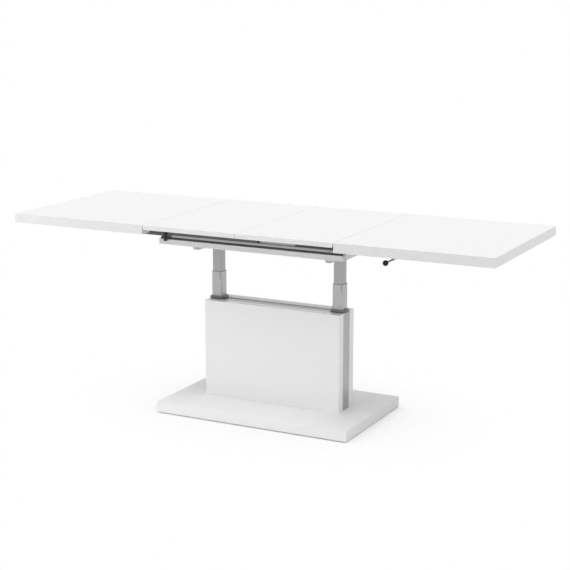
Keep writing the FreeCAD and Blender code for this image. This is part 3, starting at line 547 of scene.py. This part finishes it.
def round_outlines(mesh, ease):
    """Rounds the sharp outlines of a mesh."""
    bmesh.ops.dissolve_limit(mesh, angle_limit=FLAT_ANGLE, verts=mesh.verts, edges=mesh.edges)
    shape = {"offset": ease, "segments": EASE_STEPS, "profile": EASE_PROFILE}
    bmesh.ops.bevel(mesh, geom=outlines(mesh), affect="EDGES", clamp_overlap=True, **shape)
    bmesh.ops.dissolve_degenerate(mesh, dist=MERGE_DISTANCE, edges=mesh.edges)


def stand_in(name, mesh, paint, node):
    """Makes a piece that takes the place of a CAD node, on that node's body."""
    piece(name, mesh, paint, BODY_OF[node], [node])


def eased(paint, ease, *nodes):
    """Stands for CAD nodes with copies whose sharp outlines are rounded."""
    for node in nodes:
        mesh = solid_mesh(node)
        round_outlines(mesh, ease)
        stand_in(node + "_eased", mesh, paint, node)


def full_turn(steps):
    """The angles of that many even steps round a circle."""
    return [2 * pi * step / steps for step in range(steps)]


def ring_of(mesh, centre, radius, z, steps=ROUND_STEPS):
    """A ring of points round an upright axis."""
    ring = []
    for turn in full_turn(steps):
        spot = (centre.x + radius * cos(turn), centre.y + radius * sin(turn), z)
        ring.append(mesh.verts.new(spot))
    return ring


def rounded_square(mesh, centre, side, corner, z, corner_steps=6):
    """A ring of points round a square with rounded corners."""
    ring = []
    inner = side / 2 - corner
    for quarter in range(4):
        start = quarter * pi / 2
        middle = Matrix.Rotation(start, 3, "Z") @ Vector((inner, inner, 0))
        for step in range(corner_steps + 1):
            turn = start + step * pi / 2 / corner_steps
            spot = centre + middle + corner * Vector((cos(turn), sin(turn), 0))
            ring.append(mesh.verts.new((spot.x, spot.y, z)))
    return ring


def skin(mesh, rings, closed=False):
    """Joins rings of equally many points with faces."""
    pairs = list(zip(rings, rings[1:]))
    if closed:
        pairs.append((rings[-1], rings[0]))
    for low, high in pairs:
        count = len(low)
        for i in range(count):
            j = (i + 1) % count
            mesh.faces.new((low[i], low[j], high[j], high[i]))


def ring_edges(mesh, ring):
    """The edges round a ring, made where they are missing."""
    pairs = zip(ring, ring[1:] + ring[:1])
    return [mesh.edges.get(pair) or mesh.edges.new(pair) for pair in pairs]


def rectangle(left, bottom, right, top):
    """The four corners of a rectangle, in order."""
    return [(left, bottom), (right, bottom), (right, top), (left, top)]


# Drives by their number of sides, and the reach of each as a share of the head's radius
CROSS = 4
HEXAGON = 6
DRIVE_REACH = {CROSS: 0.62, HEXAGON: 0.55}
# Half the width of a cross's arm by its reach
CROSS_ARM = 0.24
# Bottom of a recess as a share of its mouth, and its depth as a share of the head's height
RECESS_TAPER = 0.72
RECESS_DEPTH = 0.6
# Radius of a screw's tip as a share of its shank
TIP_SHARE = 0.25
HEAD_LIP = 0.25 * MILLIMETRE


def recess_outline(mesh, centre, size, sides, z):
    """Outline of a screw's drive: a hexagon or a cross."""
    if sides == HEXAGON:
        return ring_of(mesh, centre, size, z, HEXAGON)
    arm = size * CROSS_ARM
    corners = []
    for quarter in range(4):
        turn = Matrix.Rotation(quarter * pi / 2, 3, "Z")
        for x, y in ((arm, arm), (arm, size), (-arm, size)):
            corners.append(turn @ Vector((x, y, 0)))
    return [mesh.verts.new((centre.x + spot.x, centre.y + spot.y, z)) for spot in corners]


def driven_screw(mesh, low, high, shank, head_height, sides, countersunk):
    """A screw that points up from its head, with a drive recess in the head."""
    centre = (low + high) / 2
    radius = (high.x - low.x) / 2
    face = ring_of(mesh, centre, radius - HEAD_LIP, low.z)
    rim = ring_of(mesh, centre, radius, low.z + HEAD_LIP)
    neck_z = low.z + head_height
    rings = [face, rim]
    if not countersunk:
        rings.append(ring_of(mesh, centre, radius, neck_z))
    shank_radius = shank / 2
    rings.append(ring_of(mesh, centre, shank_radius, neck_z))
    rings.append(ring_of(mesh, centre, shank_radius, high.z - shank_radius))
    rings.append(ring_of(mesh, centre, shank_radius * TIP_SHARE, high.z))
    skin(mesh, rings)
    mesh.faces.new(rings[-1])
    size = radius * DRIVE_REACH[sides]
    mouth = recess_outline(mesh, centre, size, sides, low.z)
    bottom_z = low.z + head_height * RECESS_DEPTH
    bottom = recess_outline(mesh, centre, size * RECESS_TAPER, sides, bottom_z)
    skin(mesh, [mouth, bottom])
    face_edges = ring_edges(mesh, face) + ring_edges(mesh, mouth)
    bmesh.ops.triangle_fill(mesh, use_beauty=True, edges=face_edges)
    bmesh.ops.triangle_fill(mesh, use_beauty=True, edges=ring_edges(mesh, bottom))


def screws(paint, node, shank, head_height, sides, countersunk):
    """Stands for a CAD node of upright screws with ones that have a drive."""
    mesh = bmesh.new()
    for low, high in loose_solids(node):
        driven_screw(mesh, low, high, shank, head_height, sides, countersunk)
    stand_in(node + "_driven", mesh, paint, node)


# Points round a weld bead, and its narrow places as a share of its wide ones
WELD_SIDES = 8
WELD_WAIST = 0.8


def weld(mesh, corners, radius, ripple):
    """A rippled bead along a closed line of corners, with two rings to a ripple."""
    path = []
    for start, end in zip(corners, corners[1:] + corners[:1]):
        count = max(2, round((end - start).length / ripple * 2))
        path += [start.lerp(end, step / count) for step in range(count)]
    turns = full_turn(WELD_SIDES)
    rings = []
    for index, spot in enumerate(path):
        along = (path[(index + 1) % len(path)] - path[index - 1]).normalized()
        side = along.orthogonal().normalized()
        up = along.cross(side)
        size = radius if index % 2 else radius * WELD_WAIST
        rings.append([mesh.verts.new(spot + size * (cos(t) * side + sin(t) * up)) for t in turns])
    skin(mesh, rings, closed=True)


class TABLE_OT_boards(bpy.types.Operator):
    """Tabletop halves, leaves, strips, bands and dowels"""

    bl_idname = "table.boards"
    bl_label = "Tabletop boards"

    def execute(self, context):
        look = context.scene.table_boards
        gloss = laminate(
            "gloss_white_laminate", look.gloss_white, look.gloss_roughness, specular=0.5, coat_weight=0.35
        )
        eased(gloss, look.leaf_ease, "left_leaf", "right_leaf")
        coat(gloss, "left_top_board", "right_top_board")
        band = edge_band("white_edge_band", look.band_white, roughness=0.16)
        coat(band, "left_edge_band", "right_edge_band")
        strip = pearl_board("pearled_strip_board", look.strip_white, roughness=0.38)
        coat(strip, "left_edge_strips", "right_edge_strips")
        coat(beech_wood("beech_dowel", look.beech), "leaf_dowels")
        return {"FINISHED"}


class TABLE_OT_pedestal(bpy.types.Operator):
    """Base board, pedestal panels, end strips, top cover and glides"""

    bl_idname = "table.pedestal"
    bl_label = "Pedestal and base"

    def execute(self, context):
        look = context.scene.table_boards
        metal = context.scene.table_metals
        plastic = context.scene.table_plastics
        satin = laminate("satin_white_laminate", look.satin_white, look.satin_roughness, specular=0.25)
        eased(satin, look.board_ease, "base_board")
        panel = laminate("panel_white_laminate", look.panel_white, look.panel_roughness, specular=0.5)
        eased(panel, look.panel_ease, "front_panel", "rear_panel")
        upright = anodised("upright_anodised_strip", metal.strip_silver, roughness=0.40, along=ALONG_Z)
        eased(upright, metal.extrusion_ease, "end_strips")
        cover = anodised("anodised_cover", metal.cover_silver, roughness=0.40, along=ALONG_X)
        eased(cover, metal.extrusion_ease, "top_cover")
        glide = moulded("black_glide", plastic.moulded_black, roughness=0.55, grain=0.00005)
        coat(glide, "base_glides")
        return {"FINISHED"}


# Rounding of a wiper ring: its corners by its two walls, its upper edge by its height
RING_CORNER = 0.9
RING_SOFT = 0.3


class TABLE_OT_columns(bpy.types.Operator):
    """Telescopic tubes, foot plates, gas springs, collars and wiper rings"""

    bl_idname = "table.columns"
    bl_label = "Lift columns"

    def execute(self, context):
        metal = context.scene.table_metals
        plastic = context.scene.table_plastics
        upper = anodised("upper_tube_silver", metal.upper_silver, roughness=0.38, along=ALONG_Z)
        coat(upper, "left_upper_tube", "right_upper_tube")
        middle = anodised("middle_tube_silver", metal.middle_silver, roughness=0.38, along=ALONG_Z)
        coat(middle, "left_middle_tube", "right_middle_tube")
        outer = anodised("outer_tube_silver", metal.outer_silver, roughness=0.42, along=ALONG_Z)
        coat(outer, "left_outer_tube", "right_outer_tube", "foot_plates")
        coat(enamel("gas_spring_black", metal.gas_black), "left_gas_cylinder", "right_gas_cylinder")
        coat(ground_chrome("gas_rod_chrome", metal.rod_chrome), "left_gas_rod", "right_gas_rod")
        # The collars' upper faces get a painted highlight colour
        collar = moulded(
            "grey_collar", plastic.collar_grey, roughness=0.3, grain=0.00003, highlight_rgb=plastic.collar_painted_highlight
        )
        coat(collar, "column_collars")
        for side in SIDES:
            self.wiper_ring(side, collar, plastic)
        return {"FINISHED"}

    def wiper_ring(self, side, paint, plastic):
        """Dark ring on top of a middle tube, round the upper tube."""
        tube_low, tube_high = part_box(side + "_middle_tube")
        inner_low, inner_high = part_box(side + "_upper_tube")
        centre = (tube_low + tube_high) / 2
        outside = tube_high.x - tube_low.x
        inside = inner_high.x - inner_low.x + 2 * plastic.ring_gap
        corner = (outside - inside) * RING_CORNER
        bottom = tube_high.z
        top = bottom + plastic.ring_height
        soft = plastic.ring_height * RING_SOFT
        mesh = bmesh.new()
        rings = [
            rounded_square(mesh, centre, outside, corner + soft, bottom),
            rounded_square(mesh, centre, outside, corner + soft, top - soft),
            rounded_square(mesh, centre, outside - 2 * soft, corner, top),
            rounded_square(mesh, centre, inside, corner, top),
            rounded_square(mesh, centre, inside, corner, bottom),
        ]
        skin(mesh, rings, closed=True)
        piece(side + "_wiper_ring", mesh, paint, side + "_middle_stage")


class TABLE_OT_lift_frame(bpy.types.Operator):
    """Frame bars, cross bars, crossheads, end caps and weld beads"""

    bl_idname = "table.lift_frame"
    bl_label = "Lift frame"

    def execute(self, context):
        metal = context.scene.table_metals
        plastic = context.scene.table_plastics
        grey = powder_coat("frame_grey_powder", metal.frame_grey, roughness=0.45)
        eased(grey, metal.frame_ease, "front_frame_bar", "rear_frame_bar")
        dark_grey = powder_coat("crosshead_grey_powder", metal.crosshead_grey, roughness=0.45)
        eased(dark_grey, metal.frame_ease, "left_crosshead", "right_crosshead")
        coat(grey, "cross_bars")
        cap = moulded("grey_cap", plastic.cap_grey, roughness=0.5, grain=0.00004)
        eased(cap, plastic.plastic_ease, "frame_end_caps")
        self.weld_beads(grey, metal)
        return {"FINISHED"}

    def weld_beads(self, paint, metal):
        """Beads round the ends of the cross bars and round the heads of the columns."""
        seams = []
        for low, high in loose_solids("cross_bars"):
            end = rectangle(low.x, low.z, high.x, high.z)
            for y in (low.y, high.y):
                seams.append([Vector((x, y, z)) for x, z in end])
        for side in SIDES:
            low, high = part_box(side + "_upper_tube")
            head = rectangle(low.x, low.y, high.x, high.y)
            seams.append([Vector((x, y, high.z)) for x, y in head])
        mesh = bmesh.new()
        for seam in seams:
            weld(mesh, seam, metal.weld_radius, metal.weld_ripple)
        piece("frame_weld_beads", mesh, paint, "lift_head")


class TABLE_OT_rails(bpy.types.Operator):
    """Fixed rails, moving slides, liners, keepers, packing strips and rail stops"""

    bl_idname = "table.rails"
    bl_label = "Extension rails"

    def execute(self, context):
        metal = context.scene.table_metals
        plastic = context.scene.table_plastics
        silver = anodised("anodised_rail", metal.rail_silver, roughness=0.36, along=ALONG_X)
        eased(silver, metal.extrusion_ease, "front_fixed_rail", "rear_fixed_rail")
        dark = anodised("dark_anodised_slide", metal.slide_dark, roughness=0.40, along=ALONG_X)
        slides = [f"{side}_{place}_slide" for side in SIDES for place in ("front", "rear")]
        eased(dark, metal.extrusion_ease, *slides)
        black = moulded("black_moulded", plastic.moulded_black, roughness=0.5, grain=0.00005)
        eased(black, plastic.plastic_ease, "slide_keepers")
        packing = moulded("black_packing", plastic.packing_black, roughness=0.5, grain=0.00005)
        coat(packing, "packing_strips")
        liner = moulded("grey_liner", plastic.liner_grey, roughness=0.5, grain=0.00003)
        coat(liner, "rail_glides")
        dark_stop = moulded("dark_rail_stop", plastic.stop_dark, roughness=0.5, grain=0.00004)
        light_stop = moulded("light_rail_stop", plastic.stop_light, roughness=0.5, grain=0.00004)
        self.stops("rail_stops_dark", dark_stop, plastic.plastic_ease, diagonal=1)
        self.stops("rail_stops_light", light_stop, plastic.plastic_ease, diagonal=-1)
        return {"FINISHED"}

    def stops(self, name, paint, ease, diagonal):
        """The two rail stops on one diagonal of the table, with rounded outlines."""
        mesh = solid_mesh("rail_stops")
        others = [vertex for vertex in mesh.verts if vertex.co.x * vertex.co.y * diagonal < 0]
        bmesh.ops.delete(mesh, geom=others, context="VERTS")
        round_outlines(mesh, ease)
        stand_in(name, mesh, paint, "rail_stops")


# Shares of the knob's radius: its sleeve, and how far from the flat its rim and its round part end
SLEEVE_RADIUS = 0.56
SLEEVE_HEIGHT = 0.14
RIM_HEIGHT = 0.02
ROUND_END = 0.04
# Outer edge of the flat as a share of the rim's radius
FLAT_OUTER = 0.94
# Inner edge of the flat and bore as shares of the sleeve's radius, and the lip as a share of its height
FLAT_INNER = 0.9
SLEEVE_BORE = 0.8
SLEEVE_LIP = 0.3


class TABLE_OT_release_gear(bpy.types.Operator):
    """Release rod, cams, pins, bearings and the ball knob"""

    bl_idname = "table.release_gear"
    bl_label = "Release lever"

    def execute(self, context):
        metal = context.scene.table_metals
        plastic = context.scene.table_plastics
        zinc = zinc_plate("lever_zinc", metal.lever_zinc, roughness=0.36)
        coat(zinc, "release_rod", "left_release_pin", "right_release_pin")
        eased(zinc, metal.extrusion_ease, "release_cams")
        bearing = moulded("black_bearing", plastic.moulded_black, roughness=0.5, grain=0.00005)
        coat(bearing, "shaft_bearings")
        self.knob(polished_plastic("knob_black", plastic.knob_black), zinc)
        return {"FINISHED"}

    def knob(self, black, zinc):
        """Ball knob with a flat and a pressed-in sleeve where the rod goes in."""
        low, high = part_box("lever_knob")
        radius = (high.x - low.x) / 2
        centre = Vector(((low.x + high.x) / 2, low.y + radius, (low.z + high.z) / 2))
        flat = high.y - centre.y
        sleeve_radius = radius * SLEEVE_RADIUS
        sleeve_height = radius * SLEEVE_HEIGHT
        rim = (radius ** 2 - flat ** 2) ** 0.5
        steps = ROUND_STEPS // 2
        ball = bmesh.new()
        profile = []
        for step in range(1, steps):
            turn = pi * step / steps
            if -radius * cos(turn) < flat - radius * ROUND_END:
                profile.append((radius * sin(turn), -radius * cos(turn)))
        profile.append((rim, flat - radius * RIM_HEIGHT))
        profile.append((rim * FLAT_OUTER, flat))
        profile.append((sleeve_radius * FLAT_INNER, flat))
        self.lathe(ball, centre, profile)
        piece("lever_knob_ball", ball, black, "release_lever", ["lever_knob"])
        sleeve = bmesh.new()
        bore = sleeve_radius * SLEEVE_BORE
        lip = sleeve_height * SLEEVE_LIP
        near = flat - sleeve_height
        far = flat + sleeve_height
        profile = [
            (bore, near),
            (sleeve_radius, near),
            (sleeve_radius, far - lip),
            (sleeve_radius - lip, far),
            (bore, far),
        ]
        self.lathe(sleeve, centre, profile)
        piece("lever_knob_sleeve", sleeve, zinc, "release_lever")

    def lathe(self, mesh, centre, profile):
        """A shape turned about the line along Y through centre, closed at both ends."""
        rings = []
        for radius, y in profile:
            spots = [Vector((radius * cos(t), y, radius * sin(t))) for t in full_turn(ROUND_STEPS)]
            rings.append([mesh.verts.new(centre + spot) for spot in spots])
        skin(mesh, rings)
        mesh.faces.new(rings[0])
        mesh.faces.new(rings[-1])


# Shares of the belt's pitch at which the gap ends, the tooth starts and the tooth ends
GAP_END = 0.35
TOOTH_START = 0.5
TOOTH_END = 0.85


class TABLE_OT_belt_drive(bpy.types.Operator):
    """Toothed belt, pulleys, axles and the arms of the halves"""

    bl_idname = "table.belt_drive"
    bl_label = "Belt drive"

    def execute(self, context):
        metal = context.scene.table_metals
        plastic = context.scene.table_plastics
        pulley = moulded("grey_pulley", plastic.pulley_grey, roughness=0.45, grain=0.00003)
        coat(pulley, "left_sync_pulley", "right_sync_pulley")
        coat(zinc_plate("axle_zinc", metal.bolt_zinc, roughness=0.34), "pulley_axles")
        arm = zinc_plate("arm_zinc", metal.arm_zinc, roughness=0.40)
        eased(arm, metal.extrusion_ease, "left_sync_arm", "right_sync_arm")
        self.toothed_belt(belt_rubber("belt_black", plastic.belt_black), plastic)
        return {"FINISHED"}

    def toothed_belt(self, paint, plastic):
        """Belt with a smooth back and teeth on its inner side."""
        low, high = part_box("sync_belt")
        pulley_low, pulley_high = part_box("left_sync_pulley")
        axle_x = (pulley_low.x + pulley_high.x) / 2
        centre_y = (low.y + high.y) / 2
        radius = (high.y - low.y) / 2
        run = -2 * axle_x
        bend = pi * radius
        whole = 2 * (run + bend)
        count = round(whole / plastic.tooth_pitch)
        crest = plastic.belt_thickness
        root = crest - plastic.tooth_depth
        pitch_profile = ((0, root), (GAP_END, root), (TOOTH_START, crest), (TOOTH_END, crest))

        def spot(distance, inset):
            """A point along the belt's back, moved towards the inside by inset."""
            distance %= whole
            reach = radius - inset
            if distance < run:
                return Vector((axle_x + distance, centre_y - reach, 0))
            distance -= run
            if distance < bend:
                turn = distance / radius - pi / 2
                return Vector((-axle_x + reach * cos(turn), centre_y + reach * sin(turn), 0))
            distance -= bend
            if distance < run:
                return Vector((-axle_x - distance, centre_y + reach, 0))
            turn = (distance - run) / radius + pi / 2
            return Vector((axle_x + reach * cos(turn), centre_y + reach * sin(turn), 0))

        mesh = bmesh.new()
        rings = []
        for tooth in range(count):
            for part, inset in pitch_profile:
                distance = (tooth + part) * whole / count
                back = spot(distance, 0)
                inner = spot(distance, inset)
                rings.append([
                    mesh.verts.new((back.x, back.y, low.z)),
                    mesh.verts.new((back.x, back.y, high.z)),
                    mesh.verts.new((inner.x, inner.y, high.z)),
                    mesh.verts.new((inner.x, inner.y, low.z)),
                ])
        skin(mesh, rings, closed=True)
        piece("toothed_belt", mesh, paint, "lift_head", ["sync_belt"])


# Node, shank diameter and head height in millimetres, drive, and whether the head is countersunk
SCREW_KINDS = (
    ("rail_screws", 5, 2.5, CROSS, True),
    ("left_slide_screws", 4, 2, CROSS, True),
    ("right_slide_screws", 4, 2, CROSS, True),
    ("crosshead_bolts", 8, 4.5, HEXAGON, False),
)


class TABLE_OT_screws(bpy.types.Operator):
    """Screws and bolts with their drive recesses"""

    bl_idname = "table.screws"
    bl_label = "Screws and bolts"

    def execute(self, context):
        metal = context.scene.table_metals
        zinc = zinc_plate("bolt_zinc", metal.bolt_zinc, roughness=0.34)
        for node, shank, head_height, sides, countersunk in SCREW_KINDS:
            screws(zinc, node, shank * MILLIMETRE, head_height * MILLIMETRE, sides, countersunk)
        coat(zinc, "base_screws", "panel_tie_bolts")
        return {"FINISHED"}


WHITE = (1, 1, 1, 1)


class TABLE_OT_stage(bpy.types.Operator):
    """Camera, soft light, white surroundings and floor"""

    bl_idname = "table.stage"
    bl_label = "Photo stage"

    def execute(self, context):
        look = context.scene.table_stage
        context.scene.view_settings.view_transform = "Standard"
        self.camera(context.scene, look)
        self.sun(context.scene, "left_sun", look.left_sun, look.left_sun_from, look.sun_spread)
        self.sun(context.scene, "right_sun", look.right_sun, look.right_sun_from, look.sun_spread)
        self.lamp(context.scene, look)
        self.sky(context.scene, look)
        self.floor(context.scene, look)
        return {"FINISHED"}

    def aimed(self, scene, data, place, direction):
        """Places a camera or a light and turns it in a direction."""
        made = bpy.data.objects.new(data.name, data)
        made.location = place
        made.rotation_mode = "QUATERNION"
        made.rotation_quaternion = direction.to_track_quat("-Z", "Y")
        scene.collection.objects.link(made)
        return made

    def camera(self, scene, look):
        """Camera at the photograph's viewing angle."""
        data = bpy.data.cameras.new("photo_camera")
        data.lens = look.lens
        data.sensor_width = look.sensor
        data.clip_end = look.sight
        back = Vector((
            sin(look.azimuth) * cos(look.elevation),
            -cos(look.azimuth) * cos(look.elevation),
            sin(look.elevation),
        ))
        scene.camera = self.aimed(scene, data, Vector(look.aim) + back * look.distance, -back)

    def sun(self, scene, name, energy, source, spread):
        """Wide soft light from far away."""
        data = bpy.data.lights.new(name, "SUN")
        data.energy = energy
        data.angle = spread
        self.aimed(scene, data, (0, 0, 0), -Vector(source))

    def lamp(self, scene, look):
        """Low round lamp at the left that isn't seen itself."""
        data = bpy.data.lights.new("low_lamp", "AREA")
        data.energy = look.lamp
        data.shape = "DISK"
        data.size = look.lamp_width
        place = Vector(look.lamp_place)
        made = self.aimed(scene, data, place, Vector(look.aim) - place)
        made.visible_camera = False
        made.visible_glossy = False

    def seen(self, tree):
        """1 where the eye, a gloss or a glass looks, and 0 for the light that falls on things."""
        camera = tree.node("ShaderNodeLightPath", output="Is Camera Ray")
        gloss = tree.node("ShaderNodeLightPath", output="Is Glossy Ray")
        glass = tree.node("ShaderNodeLightPath", output="Is Transmission Ray")
        return 1 - (1 - camera) * (1 - gloss) * (1 - glass)

    def sky(self, scene, look):
        """White surroundings that light the table less than they show."""
        scene.world = bpy.data.worlds.new("white_surroundings")
        tree = Tree(scene.world)
        dim = tree.node("ShaderNodeBackground", {}, {"Color": WHITE, "Strength": look.sky})
        white = tree.node("ShaderNodeBackground", {}, {"Color": WHITE, "Strength": 1})
        both = tree.node("ShaderNodeMixShader", {}, {0: self.seen(tree), 1: dim, 2: white})
        tree.feed(tree.nodes["World Output"].inputs["Surface"], both)

    def floor(self, scene, look):
        """White floor with the soft shadow of what stands on it."""
        mesh = bmesh.new()
        bmesh.ops.create_grid(mesh, x_segments=1, y_segments=1, size=look.floor_size)
        data = bpy.data.meshes.new("floor")
        mesh.to_mesh(data)
        mesh.free()
        made = bpy.data.objects.new("floor", data)
        scene.collection.objects.link(made)
        material = bpy.data.materials.new("white_floor")
        tree = Tree(material)
        white = (look.floor_white,) * 3 + (1,)
        matt = tree.node("ShaderNodeBsdfDiffuse", {}, {"Color": white})
        glow = tree.node("ShaderNodeEmission", {}, {"Strength": 1})
        clear = tree.node("ShaderNodeAmbientOcclusion", {}, {"Distance": look.shadow_reach}, output="AO")
        glowing = self.seen(tree) * clear ** look.shadow_depth
        both = tree.node("ShaderNodeMixShader", {}, {0: glowing, 1: matt, 2: glow})
        tree.feed(tree.nodes["Material Output"].inputs["Surface"], both)
        data.materials.append(material)


class TABLE_PT_looks(bpy.types.Panel):
    """Lists the table's operators and settings"""

    bl_idname = "TABLE_PT_looks"
    bl_label = "Extending table"
    bl_space_type = "VIEW_3D"
    bl_region_type = "UI"
    bl_category = "Table"

    def draw(self, context):
        layout = self.layout
        for operator in OPERATORS:
            layout.operator(operator.bl_idname)
        for name in SETTINGS:
            group = getattr(context.scene, name)
            column = layout.column()
            for key in group.__annotations__:
                column.prop(group, key)


SETTINGS = {
    "table_boards": BoardFinish,
    "table_metals": MetalFinish,
    "table_plastics": PlasticFinish,
    "table_stage": PhotoStage,
}
OPERATORS = (
    TABLE_OT_boards,
    TABLE_OT_pedestal,
    TABLE_OT_columns,
    TABLE_OT_lift_frame,
    TABLE_OT_rails,
    TABLE_OT_release_gear,
    TABLE_OT_belt_drive,
    TABLE_OT_screws,
    TABLE_OT_stage,
)
CLASSES = (*SETTINGS.values(), *OPERATORS, TABLE_PT_looks)


def register():
    for one in CLASSES:
        bpy.utils.register_class(one)
    for name, group in SETTINGS.items():
        setattr(bpy.types.Scene, name, PointerProperty(type=group))


def unregister():
    for name in SETTINGS:
        delattr(bpy.types.Scene, name)
    for one in reversed(CLASSES):
        bpy.utils.unregister_class(one)


def main():
    register()
    bpy.ops.table.boards()
    bpy.ops.table.pedestal()
    bpy.ops.table.columns()
    bpy.ops.table.lift_frame()
    bpy.ops.table.rails()
    bpy.ops.table.release_gear()
    bpy.ops.table.belt_drive()
    bpy.ops.table.screws()
    bpy.ops.table.stage()


if __name__ == "__main__":
    main()
